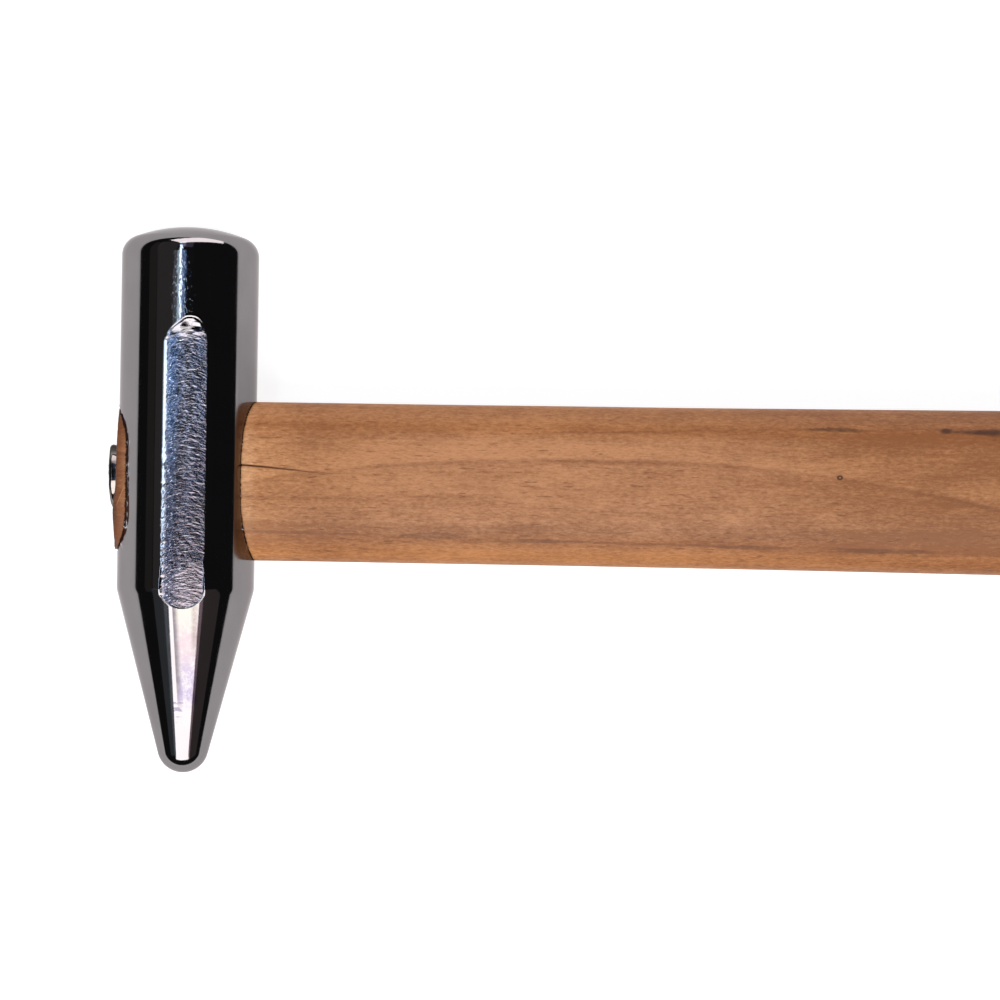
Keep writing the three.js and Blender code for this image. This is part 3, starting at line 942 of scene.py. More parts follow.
def ring_outline(wedge):
    """Outline of the ring wedge as (radius, distance from the rim): bore, round rim, barbs, thin edge."""
    bore, outer, soft = wedge.ring_radius - wedge.ring_wall, wedge.ring_radius, wedge.ring_round
    thin = bore + wedge.ring_edge

    def taper(distance):
        return outer + (thin - outer) * distance / wedge.ring_length

    down_bore = np.linspace(wedge.ring_length, soft, BORE_STEPS + 1)[:-1]
    bore_line = np.stack([np.full(BORE_STEPS, bore), down_bore], axis=-1)
    inner_rim = arc(bore + soft, soft, soft, math.pi, 3 * QUARTER, RIM_STEPS)
    outer_rim = arc(outer - soft, soft, soft, -QUARTER, 0, RIM_STEPS)
    pitch = (wedge.ring_length - 2 * soft) / (BARBS + 1)
    side = []
    for i in range(1, BARBS + 1):
        groove = soft + i * pitch
        side += [(taper(groove) - BARB_DEPTH, groove), (taper(groove + BARB_RISE), groove + BARB_RISE)]
    side.append((thin, wedge.ring_length))
    return np.concatenate([bore_line, inner_rim, outer_rim, np.array(side)])


def ring_seat_outline(wedge, fit):
    """Outline of the space that the ring wedge takes in the wood, open past its rim."""
    bore, outer = wedge.ring_radius - wedge.ring_wall - fit, wedge.ring_radius + fit
    end = wedge.ring_length + fit
    thin = bore + wedge.ring_edge + 2 * fit
    return np.array([(bore, end), (bore, -OVERRUN), (outer, -OVERRUN), (outer, 0), (thin, end)])


def revolve(outline, columns):
    """A closed outline turned about the X axis: loops round the axis, one for each outline point."""
    turn = np.linspace(0, 2 * math.pi, columns + 1)[:-1]
    radius, along = outline[:, :1], outline[:, 1:]
    shape = (len(outline), columns)
    return np.stack([np.broadcast_to(along, shape), radius * np.cos(turn), radius * np.sin(turn)], axis=-1)


def set_ring(wedge, loops):
    """Turns ring loops by the ring's tilt about the vertical and sets the rim's middle at its reach."""
    c, s = math.cos(wedge.ring_tilt), math.sin(wedge.ring_tilt)
    x, y, z = loops[..., 0], loops[..., 1], loops[..., 2]
    turned_x, turned_y = x * c - y * s, x * s + y * c
    return np.stack([turned_x - wedge.ring_reach, turned_y + wedge.ring_offset, z + AXIS_HEIGHT], axis=-1)


def closed_ring(name, loops):
    """A ring-shaped object from loops that close on themselves both ways."""
    numbers = np.arange(loops.shape[0] * loops.shape[1]).reshape(loops.shape[:2])
    return mesh_object(name, loops.reshape(-1, 3), [loop_faces([*numbers, numbers[0]])])


def make_ring_mesh(wedge):
    """The ring wedge: its outline revolved, its rim beaten down at the pick's side and dented."""
    loops = revolve(ring_outline(wedge), RING_COLUMNS)
    x, y, z = loops[..., 0], loops[..., 1], loops[..., 2]
    near_rim = smooth(1 - x / DENT_REACH)
    low_end = np.clip(1 - (wedge.ring_radius + y) / BRUISE_REACH, 0, 1)
    dents = DENT_DEPTH * noise(y / DENT_PITCH + DENT_PHASE, z / DENT_PITCH, 21) - DENT_FLOOR
    dip = wedge.ring_bruise * low_end**2 + np.abs(dents)
    loops = np.stack([x + dip * near_rim, y, z], axis=-1)
    return closed_ring("steel_ring", set_ring(wedge, loops))


def seat_cutter(wedge):
    """The space that the ring wedge takes in the wood, as an object."""
    loops = revolve(ring_seat_outline(wedge, SEAT_FIT), RING_COLUMNS)
    return closed_ring("seat", set_ring(wedge, loops))


def kerf_cutter(wedge, handle, head):
    """The kerf as a closed wedge-shaped block, wide at the sawn end, from side to side of the tongue."""
    mouth = wedge.kerf_mouth + (wedge.kerf_mouth - wedge.kerf_foot) * OVERRUN / wedge.kerf_depth
    low, high = -handle.sawn_end - OVERRUN, -handle.sawn_end + wedge.kerf_depth
    reach = head.mouth_length / 2 + OVERRUN
    corners = [(low, -mouth), (high, -wedge.kerf_foot), (high, wedge.kerf_foot), (low, mouth)]
    ends = [np.array([(x, side, z / 2) for x, z in corners]) for side in (-reach, reach)]
    points = np.concatenate(ends) + np.array([0, 0, AXIS_HEIGHT])
    numbers = np.arange(8).reshape(2, 4)
    return mesh_object("kerf", points, [loop_faces(list(numbers)), numbers])


def make_kerf_wedge_mesh(wedge, handle, head):
    """The wooden wedge: squared ovals that thin towards the kerf's foot, crushed at the struck end."""
    turn = np.linspace(0, 2 * math.pi, PLATE_COLUMNS + 1)[:-1]
    unit = squared(turn, PLATE_POWER)
    loops = []
    for distance in np.linspace(0, wedge.kerf_depth - wedge.kerf_short, PLATE_LOOPS):
        wide = wedge.kerf_mouth + (wedge.kerf_foot - wedge.kerf_mouth) * distance / wedge.kerf_depth
        x = -handle.sawn_end + distance
        long, _ = eye_size(head, np.array(x))
        half = np.array([long / 2 - handle.tongue_fit - PLATE_FIT, wide / 2 - wedge.kerf_fit])
        crushed = smooth(1 - distance / CRUSH_REACH)
        torn = CRUSH_DEPTH * crushed * np.abs(noise(6 * unit[:, 0], 2 * unit[:, 1], 8))
        ends = SAWN_CROWN * unit[:, 0] ** 2 + torn
        loops.append(np.concatenate([(x + ends * crushed)[:, None], unit * half], axis=1))
    first, last = loops[0], loops[-1]
    for t in PLATE_CAP_SHARES:
        ring = first * np.array([1, t, t])
        ring[:, 0] = -handle.sawn_end + (first[:, 0] + handle.sawn_end) * t**2
        loops.insert(0, ring)
    loops += [last * np.array([1, t, t]) for t in PLATE_FOOT_SHARES]
    return closed_tube("wooden_wedge", loops, -handle.sawn_end, last[0, 0])


# Materials


class Weave:
    """A short way to build a node material: each call adds one node and links what it is given."""

    def __init__(self, name):
        self.material = bpy.data.materials.new(name)
        self.material.use_nodes = True
        self.tree = self.material.node_tree
        self.tree.nodes.clear()

    def add(self, kind, inputs=None, output=0, **settings):
        """Adds a node with its settings, and fills inputs by name or number with values or outputs."""
        node = self.tree.nodes.new(kind)
        for key, value in settings.items():
            setattr(node, key, value)
        for key, value in (inputs or {}).items():
            if isinstance(value, bpy.types.NodeSocket):
                self.tree.links.new(value, node.inputs[key])
            else:
                node.inputs[key].default_value = value
        return node.outputs[output]

    def maths(self, operation, *values, clamp=False):
        """One Math node."""
        return self.add("ShaderNodeMath", dict(enumerate(values)), operation=operation, use_clamp=clamp)

    def join(self, operation, values):
        """Joins values two at a time with one Math operation."""
        total = values[0]
        for value in values[1:]:
            total = self.maths(operation, total, value)
        return total

    def times(self, *values):
        """The product of values."""
        return self.join("MULTIPLY", values)

    def plus(self, *values):
        """The sum of values."""
        return self.join("ADD", values)

    def sway(self, noise_value, weight, value):
        """Adds a noise to a value, about the noise's middle."""
        return self.maths("MULTIPLY_ADD", self.maths("SUBTRACT", noise_value, 0.5), weight, value)

    def vector(self, operation, *values, output=0):
        """One Vector Math node."""
        return self.add("ShaderNodeVectorMath", dict(enumerate(values)), output=output, operation=operation)

    def distance(self, point, centre, stretch):
        """Distance of a point from a centre, with each axis stretched."""
        away = self.vector("MULTIPLY", self.vector("SUBTRACT", point, centre), stretch)
        return self.vector("LENGTH", away, output=1)

    def places(self):
        """Object coordinates, and the same as x, y and z."""
        place_at = self.add("ShaderNodeTexCoord", output=3)
        split = self.tree.nodes.new("ShaderNodeSeparateXYZ")
        self.tree.links.new(place_at, split.inputs[0])
        return place_at, *split.outputs

    def attribute(self, name):
        """A value that the mesh carries at its points."""
        return self.add("ShaderNodeAttribute", output=2, attribute_name=name)

    def ramp(self, value, low, high, to_low=0.0, to_high=1.0):
        """Maps a stretch in millimetres smoothly onto a range."""
        return self.ease(value, low * MM, high * MM, to_low, to_high)

    def near(self, value, centre, inner, outer, at_centre=1.0, outside=0.0):
        """Maps the distance from a centre, between an inner and an outer one in millimetres."""
        away = self.maths("ABSOLUTE", self.maths("SUBTRACT", value, centre * MM))
        return self.ramp(away, inner, outer, at_centre, outside)

    def grains(self, vector, table):
        """The noises of a table, by name."""
        return {name: self.grain(vector, *numbers) for name, numbers in table.items()}

    def bump(self, height, strength, distance):
        """A normal tilted by a height."""
        return self.add("ShaderNodeBump", {"Strength": strength, "Distance": distance, "Height": height})

    def blend(self, share, low, high, mode="MIX"):
        """Mixes two colours."""
        values = {"Factor": share, 6: rgba(low), 7: rgba(high)}
        return self.add("ShaderNodeMix", values, output=2, data_type="RGBA", blend_type=mode)

    def ease(self, value, low, high, to_low=0.0, to_high=1.0):
        """Maps a range of a value smoothly onto another."""
        values = {"Value": value, "From Min": low, "From Max": high, "To Min": to_low, "To Max": to_high}
        return self.add("ShaderNodeMapRange", values, interpolation_type="SMOOTHSTEP")

    def grain(self, vector, scale, stretch=(1, 1, 1), detail=3.0, rough=0.5, offset=(0, 0, 0)):
        """Noise on object coordinates, with its own stretch along each axis."""
        mapped = self.add("ShaderNodeMapping", {"Vector": vector, "Scale": stretch, "Location": offset})
        values = {"Vector": mapped, "Scale": scale, "Detail": detail, "Roughness": rough}
        return self.add("ShaderNodeTexNoise", values)

    def finish(self, shader):
        """Ends the material in its output."""
        node = self.tree.nodes.new("ShaderNodeOutputMaterial")
        self.tree.links.new(shader, node.inputs["Surface"])
        return self.material


def dimmed(colour, share):
    """A share of a colour."""
    return [share * v for v in colour]


def rgba(colour):
    """A colour with full alpha, or a socket as it is."""
    return colour if isinstance(colour, bpy.types.NodeSocket) else (*tuple(colour)[:3], 1.0)


# Noises: scale, stretch along each axis, detail, roughness and offset. Pairs used by ramp are stretches in
# millimetres, from where a look starts to where it is full, then what it starts and ends at if not 0 and 1.
PLATING_GRAINS = {
    "hairlines": (900, (1, 0.12, 1), 4, 0.6),
    "waves": (90, (1, 1, 1), 2),
    "scuff": (1000, (1, 0.5, 1), 2, 0.5),
    "nicks": (2800, (1, 0.5, 1), 1),
    "rings": (1500, (0.02, 1, 0.02), 2),
    "cloud": (140, (1, 1, 1), 3),
    "mottle": (700, (1, 0.8, 1), 5, 0.75),
    "broken": (600, (1, 1, 1), 3, 0.7, (0.3, 0, 0)),
}
STROKE_PITCH = 0.19
STROKE_RUN = 0.6 * MM
STROKE_HEIGHT = 0.036 * MM
SCUFF_HEIGHT = 0.022 * MM
NICK_HEIGHT = 0.012 * MM
RING_HEIGHT = 0.002 * MM
HAIRLINE_HEIGHT = 0.0012 * MM
WAVE_HEIGHT = 0.012 * MM
RUNOUT_MIDDLE = (0, 1.2, 4.2)
RUNOUT_FROM = (27, 31)
NICKS_KEPT = (0.56, 0.72)
NICKS_UNTIL = (45, 33)
CONE_FROM = (-20, -23)
CONE_MIDDLE = (0, 2.2, 3.6)
# The cone's cream, pink and lilac tints are painted into the front panel's reflection, and its grey streak
# is painted shade where that reflection breaks.
REFLECTION_TINT_FROM = (-24, -28)
REFLECTION_TINT_UNTIL = (-42, -39.5)
REFLECTION_TINT_KEPT = (0.36, 0.60)
REFLECTION_TURNS_LILAC = (-30, -37)
TINT_LINE_SLOPE = 0.055
TINT_LINE_AT = 2.96 * MM
CREAM_UNTIL = (-30, -26)
CREAM_PAST_LINE = (0.1, 0.5)
REFLECTION_TINT_PAST_LINE = (-0.05, 0.2)
STRAW_BESIDE = (1.5, 2.3, 0.0, 0.7)
STRAW_UNTIL = (-33, -28)
STRAW_FROM = (-21.5, -23.5)
STRAW_KEPT = (0.30, 0.55, 0.5, 1.0)
GREY_PAST_LINE = (-0.05, 0.1)
GREY_UNTIL_LINE = (1.3, 0.2)
GREY_UNTIL = (-43, -35)
GREY_KEPT = (0.30, 0.60, 0.8, 1.0)
TURNED_KEPT = (0.53, 0.60)
TURNED_FROM = (-39, -40)
TURNED_UNTIL = (-44.5, -42.5, 0.0, 0.9)
TURNED_BROKEN = (0.47, 0.54)
TURNED_MIDDLE = (-0.5, 0.8, 1.3)
FACE_TO_PICK = (22, -8)
# A painted dark blue shade and blue reflection beside the cheek's worn edge, and painted glints on the
# strokes.
BLUE_SHADE_FROM = (0.3, -2.2)
BLUE_SHADE_UNTIL = (-3.4, -2.9)
BLUE_SHADE_KEPT = (0.60, 0.46, 0.35, 1.0)
GLINT_KEPT = (0.60, 0.70)
GLINT_SHARE = 0.25
GLINT_ON_BLUE_SHADE = 0.45
CLOUDED = (0.3, 0.7)
CLOUD_DIM = 0.94
BARE_ROUGH = 0.12
HAIRLINE_ROUGH = (0.35, 0.75, -0.015, 0.03)
BARE_STEEL = (0.95, 0.93, 0.94)
GROUND_FACE_END = (0.255, 0.242, 0.278)
# Colours of the painted glints and of the painted dark blue shade beside the worn edge.
GLINT = (0.60, 0.66, 0.74)
BLUE_SHADE_FACE_END = (0.080, 0.112, 0.180)
BLUE_SHADE_PICK_END = (0.035, 0.037, 0.052)
# Colours of the cone's painted reflection tints, of its grey painted shade and of its darker straw band.
CREAM_REFLECTION = (0.206, 0.193, 0.178)
GREY_PAINTED_SHADE = (0.068, 0.060, 0.066)
PINK_REFLECTION = (0.190, 0.158, 0.166)
LILAC_REFLECTION = (0.140, 0.122, 0.172)
DARK_STRAW = (0.105, 0.082, 0.078)
LINE_TINT = (0.10, 0.088, 0.115)
EDGE_TINT = (0.72, 0.69, 0.69, 1.0)


def plated_steel(head):
    """Bright plating with fine scratches; the cheeks are rougher, with strokes along the grinding marks.

    The cone has faint turned rings, a painted lilac tint and painted shade in the front panel's reflection,
    and the top of the body is scuffed over the run-out. The cheeks carry a painted blue shade and painted
    glints.
    """
    weave = Weave("bright plating")
    place_at, x, y, _ = weave.places()
    ground, bare = weave.attribute("ground"), weave.attribute("bare")
    grains = weave.grains(place_at, PLATING_GRAINS)
    streaky = cheek_strokes(weave, x)
    on_cone = weave.ramp(y, *CONE_FROM)
    relief = plating_relief(weave, x, y, weave.times(streaky, ground, STROKE_HEIGHT), on_cone, grains)
    colour = weave.blend(weave.ease(grains["cloud"], *CLOUDED), dimmed(head.colour, CLOUD_DIM), head.colour)
    colour = cone_colour(weave, x, y, colour, on_cone, grains)
    colour = weave.blend(ground, colour, cheek_colour(weave, head, x, y, streaky))
    colour = weave.blend(bare, colour, BARE_STEEL)
    polish = weave.ease(ground, 0.0, 1.0, head.polish, head.grit)
    rough = weave.maths("MULTIPLY_ADD", bare, BARE_ROUGH, polish)
    rough = weave.plus(rough, weave.ease(grains["hairlines"], *HAIRLINE_ROUGH))
    values = {
        "Base Color": colour,
        "Metallic": 1.0,
        "Roughness": rough,
        "Normal": weave.bump(relief, 1.0, 1.0),
        "Specular Tint": EDGE_TINT,
    }
    return weave.finish(weave.add("ShaderNodeBsdfPrincipled", values))


def cheek_strokes(weave, x):
    """Noise across the grinding marks, stretched along them."""
    across = weave.times(weave.attribute("marks"), 1 / STROKE_PITCH)
    run = weave.times(x, 1 / STROKE_RUN)
    flat = weave.add("ShaderNodeCombineXYZ", {0: across, 1: run})
    return weave.add("ShaderNodeTexNoise", {"Vector": flat, "Scale": 1.0, "Detail": 2.0, "Roughness": 0.6})


def plating_relief(weave, x, y, strokes, on_cone, grains):
    """Height of the fine marks: strokes, hairlines, waves, a nicked scuff over the run-out, turned rings."""
    over_runout = weave.times(weave.near(x, *RUNOUT_MIDDLE), weave.ramp(y, *RUNOUT_FROM))
    nicks = weave.times(weave.ease(grains["nicks"], *NICKS_KEPT), weave.ramp(y, *NICKS_UNTIL))
    scuff = weave.maths("MULTIPLY_ADD", nicks, NICK_HEIGHT / SCUFF_HEIGHT, grains["scuff"])
    scuff = weave.times(scuff, over_runout, SCUFF_HEIGHT)
    rings = weave.times(grains["rings"], on_cone, RING_HEIGHT)
    waves = weave.times(grains["waves"], WAVE_HEIGHT)
    relief = weave.maths("MULTIPLY_ADD", grains["hairlines"], HAIRLINE_HEIGHT, waves)
    return weave.plus(relief, strokes, weave.plus(scuff, rings))


def cone_colour(weave, x, y, colour, on_cone, grains):
    """The cone's colours over its own: a painted tint of the front panel's reflection in cream, then pink to
    lilac, a darker straw band, a grey streak of painted shade where that reflection breaks, and a turned
    line.

    All but the turned line lie along the middle, and the line past which they start leans across the cone.
    """
    mottle = grains["mottle"]
    middle = weave.near(x, *CONE_MIDDLE)
    past_line = weave.maths("MULTIPLY_ADD", y, TINT_LINE_SLOPE, weave.plus(x, TINT_LINE_AT))
    # Painted reflection: cream, then pink turning lilac, tint the front panel's reflection along the middle.
    cream = weave.times(
        weave.ramp(y, *CREAM_UNTIL),
        on_cone,
        middle,
        weave.ramp(past_line, *CREAM_PAST_LINE),
    )
    colour = weave.blend(cream, colour, CREAM_REFLECTION)
    reflection_tinted = weave.times(
        weave.ramp(y, *REFLECTION_TINT_FROM),
        weave.ramp(y, *REFLECTION_TINT_UNTIL),
        middle,
        weave.ease(mottle, *REFLECTION_TINT_KEPT),
        weave.ramp(past_line, *REFLECTION_TINT_PAST_LINE),
    )
    reflection_tint = weave.blend(weave.ramp(y, *REFLECTION_TURNS_LILAC), PINK_REFLECTION, LILAC_REFLECTION)
    colour = weave.blend(reflection_tinted, colour, reflection_tint)
    # A darker straw band on the right of the middle.
    straw = weave.times(
        weave.ramp(y, *STRAW_UNTIL),
        weave.ramp(y, *STRAW_FROM),
        weave.ramp(x, *STRAW_BESIDE),
        weave.ease(mottle, *STRAW_KEPT),
        middle,
    )
    colour = weave.blend(straw, colour, DARK_STRAW)
    # Painted shade: a grey streak just past the line, where the front panel's reflection breaks.
    grey = weave.times(
        weave.ramp(past_line, *GREY_PAST_LINE),
        weave.ramp(past_line, *GREY_UNTIL_LINE),
        on_cone,
        weave.ramp(y, *GREY_UNTIL),
        weave.ease(mottle, *GREY_KEPT),
    )
    colour = weave.blend(grey, colour, GREY_PAINTED_SHADE)
    turned = weave.times(
        weave.ease(grains["rings"], *TURNED_KEPT),
        weave.ramp(y, *TURNED_FROM),
        weave.ramp(y, *TURNED_UNTIL),
        weave.near(x, *TURNED_MIDDLE),
        weave.ease(grains["broken"], *TURNED_BROKEN),
    )
    return weave.blend(turned, colour, LINE_TINT)


def cheek_colour(weave, head, x, y, streaky):
    """The ground cheeks: their colour, a painted dark blue shade and painted blue reflection between the
    strokes on the worn edge's side, and painted glints on the highest strokes.
    """
    to_pick = weave.ramp(y, *FACE_TO_PICK)
    # Painted shade and painted blue reflection beside the worn edge.
    blue_shade = weave.times(weave.ramp(x, *BLUE_SHADE_FROM), weave.ramp(x, *BLUE_SHADE_UNTIL))
    colour = weave.blend(to_pick, GROUND_FACE_END, head.ground_colour)
    blue_share = weave.times(blue_shade, weave.ease(streaky, *BLUE_SHADE_KEPT))
    colour = weave.blend(blue_share, colour, weave.blend(to_pick, BLUE_SHADE_FACE_END, BLUE_SHADE_PICK_END))
    # Painted glints: a bright colour on the highest strokes.
    glint_share = weave.maths("MULTIPLY_ADD", blue_shade, GLINT_ON_BLUE_SHADE, GLINT_SHARE)
    glint_share = weave.times(weave.ease(streaky, *GLINT_KEPT), glint_share)
    return weave.blend(glint_share, colour, GLINT)


WOOD_GRAINS = {
    "bands": (70, (0.12, 1, 0.5), 4, 0.6),
    "clouds": (260, (0.4, 1, 1), 4, 0.65, (0.2, 0.1, 0)),
    "fibres": (2600, (0.32, 1, 1), 3, 0.75),
    "long fibres": (800, (0.05, 1, 1), 4, 0.7, (0.1, 0, 0)),
    "wander": (45, (0.4, 1, 1), 2),
    "dashes": (2300, (0.16, 1, 0.7), 1.5, 0.5, (0.4, 0, 0.1)),
    "patches": (55, (0.25, 1, 1), 2, 0.5, (0, 0.3, 0)),
    "presence": (40, (0.5, 1.5, 1), 3, 0.5, (0.5, 0.2, 0)),
    "ripples": (900, (0.6, 3, 1), 3, 0.7),
    "specks": (3000, (1, 1, 1), 2),
    "pores": (2600, (0.1, 1, 1), 3, 0.7),
}
TONE_LAYERS = (("bands", 0.5), ("clouds", 0.6), ("fibres", 1.2), ("long fibres", 0.6))
TONE_RANGE = (0.12, 1.0)
LINE_SWING = 1.6 * MM
ARCH_TOP = (72 * MM, 4.8 * MM)
ARCH_BEND = 1.35
ARCH_LINE = (0, 0, 0.8, 0.24)
ARCH_LINE_FROM = (18, 45)
PALE_OVER_ARCH = (-0.1, 0.6)
PALE_UNTIL = (6.5, 1.5, 0.0, 0.17)
PALE_MIDDLE = (64, 12, 75, 0.60, 0.36)
LOW_BAND = (-9.2, 1, 3, -0.22)
HIGH_BAND = (9.6, 0.8, 2, -0.10)
GOLDEN_EDGES = (0, 8, 10.5, 0.0, 1.0)
ROSY_MIDDLE = (72, 25, 55)
OUTSIDE_HEAD = (4, 8)
# Paler towards the head, and a painted highlight along the shoulder's rim.
PALER_NEAR_HEAD_UNTIL = (24, 10.5)
RIM_HIGHLIGHT_UNTIL = (13.5, 11)
DASHES_KEPT = (0.62, 0.72)
DASH_DEPTH = 0.55
PATCHES_KEPT = (0.36, 0.58, 0.35, 1.0)
PRESENCE_KEPT = (0.38, 0.62, 0.0, 1.4)
MARKS_FROM = (-8, -6)
STREAK_FRAY = 2.6
STREAK_EDGE = (0.1, 1.1)
STAIN_BESIDE = (0, 0.06, 0.4, 0.6)
STAIN_UNTIL = (27, 14)
STAIN_ABOVE = 2 * MM
KNOT_STRETCH = (0.75, 1.0, 0.0)
KNOT_RING = (0.28, 0.08, 0.24, 0.9)
# Soiling and painted shade towards the sawn end.
SOIL_AND_SHADE_FROM = (-9.4, -12.6, 0.0, 0.8)
SOIL_AND_SHADE_RIPPLES = (0.25, 0.65, 1.25, 0.55)
SPLINTER_SLOPE = -0.39
SPLINTER_AT = 10.51 * MM
# Painted highlight along the splinter's edge, and painted shade on one side of it.
SPLINTER_HIGHLIGHT = (0, 0.04, 0.14, 0.5)
SPLINTER_SHADE_FROM = (0.0, -0.1)
SPLINTER_SHADE_UNTIL = (-0.9, -0.2, 0.0, 0.45)
SPLIT_FROM = (-6.6, -5.6)
SPLIT_UNTIL = (-0.9, -1.9)
# Grime and painted shade where the wood meets the head.
GRIME_AND_SHADE_RIPPLE = 0.5 * MM
GRIME_AND_SHADE_SPECKLE = 0.4 * MM
GRIME_AND_SHADE_REACH = (12.5, 12.7, 0.94, 0.0)
SAWN_FROM = (-12.2, -12.45)
BUTT_FROM = 2.5 * MM
BUTT_FULL = 0.2 * MM
BUTT_SHARE = 0.5
PORES_KEPT = (0.35, 0.65)
END_DIM = 0.62
MARK_DIP = -0.9
WOOD_BUMP = (0.35, 0.00006)
FIBRE_ROUGH = (0.3, 0.7, 0.62, 0.52)
WOOD_SHEEN = 0.3
# Grime and painted shade where the wood meets the head.
GRIME_AND_SHADE = (0.010, 0.007, 0.006)
# Soiling and painted shade towards the sawn end.
SOIL_AND_SHADE = srgb(112, 66, 44)
STREAK_BROWN = srgb(62, 34, 19)
GOLDEN = (1.0, 0.93, 0.80)
ROSY = (1.0, 1.02, 1.12)
# A paler tone towards the head, and a painted highlight on the shoulder's rim.
PALER_NEAR_HEAD = (1.28, 1.36, 1.42)
RIM_HIGHLIGHT = (1.15, 1.3, 1.5)
PIN_KNOT = (118.3 * MM, 2.3 * MM, 0.0)
# Each streak: its middle along and across, half length and half width, all in millimetres, and its depth
STREAKS = (
    (117.5, 10.9, 7.0, 0.6, 0.75),
    (146.0, 10.9, 9.5, 0.65, 0.9),
    (137.6, 11.0, 1.5, 0.55, 0.9),
    (141.5, 10.9, 5.0, 0.45, 0.8),
    (44.0, -9.4, 9.0, 0.7, 0.32),
    (62.0, -10.0, 13.0, 0.5, 0.34),
    (103.0, -10.6, 8.0, 0.4, 0.30),
    (128.0, -10.9, 9.0, 0.5, 0.40),
)
# Each growth line: its height in millimetres at the axis, slope, half width in millimetres, and depth
GROWTH_LINES = (
    (9.0, 0.015, 0.45, 0.32),
    (-8.7, -0.019, 0.5, 0.32),
    (-4.6, 0.001, 0.26, 0.12),
)
FLECK_CORE = 0.55
# Each kind of fleck: scale, stretch, size, share left out, offset and depth
FLECKS = (
    (760, (0.11, 1.0, 0.3), 0.11, 0.35, (0, 0, 0), 0.5),
    (1150, (0.15, 1.0, 0.3), 0.13, 0.30, (0.03, 0.01, 0.02), 0.45),
)


def beech(handle):
    """Sanded beech: soft bands, fibres, ray flecks, growth lines, a pin knot and end grain."""
    weave = Weave("beech")
    place_at, x, y, z = weave.places()
    grains = weave.grains(place_at, WOOD_GRAINS)
    swing = weave.sway(grains["wander"], LINE_SWING, 0.0)
    from_top = weave.maths("SUBTRACT", x, ARCH_TOP[0])
    over_top = weave.maths("SUBTRACT", y, ARCH_TOP[1])
    arch = weave.maths("MULTIPLY_ADD", weave.times(from_top, from_top), ARCH_BEND, over_top)
    arch = weave.maths("SUBTRACT", arch, swing)
    marks = growth_marks(weave, place_at, x, y, arch, swing, grains)

    colour = wood_colour(weave, handle, x, y, arch, grains)
    colour = weave.blend(marks, colour, handle.fleck)
    colour = weave.blend(edge_streaks(weave, x, y, grains["clouds"]), colour, STREAK_BROWN)
    colour = weave.blend(crack_stain(weave, x, y, z), colour, handle.fleck)
    knot_ring = weave.near(weave.distance(place_at, PIN_KNOT, KNOT_STRETCH), *KNOT_RING)
    colour = weave.blend(knot_ring, colour, STREAK_BROWN)
    colour = soiled_and_shaded_end(weave, handle, x, y, colour, grains["ripples"])
    # Grime and painted shade where the wood meets the head.
    grime_and_shade = joint_grime_and_shade(weave, place_at, grains)
    colour = weave.blend(grime_and_shade, colour, GRIME_AND_SHADE)
    colour = end_grain(weave, handle, x, colour, grains["pores"])

    values = {
        "Base Color": colour,
        "Roughness": weave.ease(grains["fibres"], *FIBRE_ROUGH),
        "Normal": weave.bump(weave.maths("MULTIPLY_ADD", marks, MARK_DIP, grains["fibres"]), *WOOD_BUMP),
        "Specular IOR Level": weave.maths("MULTIPLY_ADD", grime_and_shade, -WOOD_SHEEN, WOOD_SHEEN),
    }
    return weave.finish(weave.add("ShaderNodeBsdfPrincipled", values))


def wood_colour(weave, handle, x, y, arch, grains):
    """The wood's colour: paler over the growth arch, darker in bands, golden at the edges, rosy between.

    The tone is the sum of the bands and of four noises. Beside the head the wood is paler and less
    saturated, and a highlight is painted along the shoulder's rim.
    """
    over = weave.times(weave.ramp(arch, *PALE_OVER_ARCH), weave.ramp(arch, *PALE_UNTIL))
    bands = weave.plus(weave.near(y, *LOW_BAND), weave.near(y, *HIGH_BAND))
    tone = weave.plus(weave.near(x, *PALE_MIDDLE), over, bands)
    for layer, weight in TONE_LAYERS:
        tone = weave.sway(grains[layer], weight, tone)
    colour = weave.blend(weave.ease(tone, *TONE_RANGE), handle.brown, handle.pale)
    golden = weave.near(y, *GOLDEN_EDGES)
    colour = weave.blend(golden, colour, GOLDEN, "MULTIPLY")
    rosy = weave.times(weave.near(x, *ROSY_MIDDLE), weave.maths("SUBTRACT", 1.0, golden))
    colour = weave.blend(rosy, colour, ROSY, "MULTIPLY")
    # Paler towards the head, and a painted highlight on the shoulder's rim.
    outside = weave.ramp(x, *OUTSIDE_HEAD)
    for until, look in ((PALER_NEAR_HEAD_UNTIL, PALER_NEAR_HEAD), (RIM_HIGHLIGHT_UNTIL, RIM_HIGHLIGHT)):
        colour = weave.blend(weave.times(outside, weave.ramp(x, *until)), colour, look, "MULTIPLY")
    return colour


def growth_marks(weave, place_at, x, y, arch, swing, grains):
    """Ray flecks and dashes in patches, and growth lines that come and go."""
    masks = [fleck_mask(weave, place_at, *numbers) for numbers in FLECKS]
    masks.append(weave.times(weave.ease(grains["dashes"], *DASHES_KEPT), DASH_DEPTH))
    patches = weave.ease(grains["patches"], *PATCHES_KEPT)
    lines = [weave.times(weave.near(arch, *ARCH_LINE), weave.ramp(x, *ARCH_LINE_FROM))]
    for level, slope, half, depth in GROWTH_LINES:
        line = weave.plus(weave.maths("MULTIPLY_ADD", x, slope, level * MM), swing)
        lines.append(weave.near(weave.maths("SUBTRACT", y, line), 0, 0, half, depth))
    presence = weave.ease(grains["presence"], *PRESENCE_KEPT)
    marks = [weave.times(weave.join("MAXIMUM", masks), patches)]
    marks += [weave.times(line, presence) for line in lines]
    return weave.times(weave.join("MAXIMUM", marks), weave.ramp(x, *MARKS_FROM))


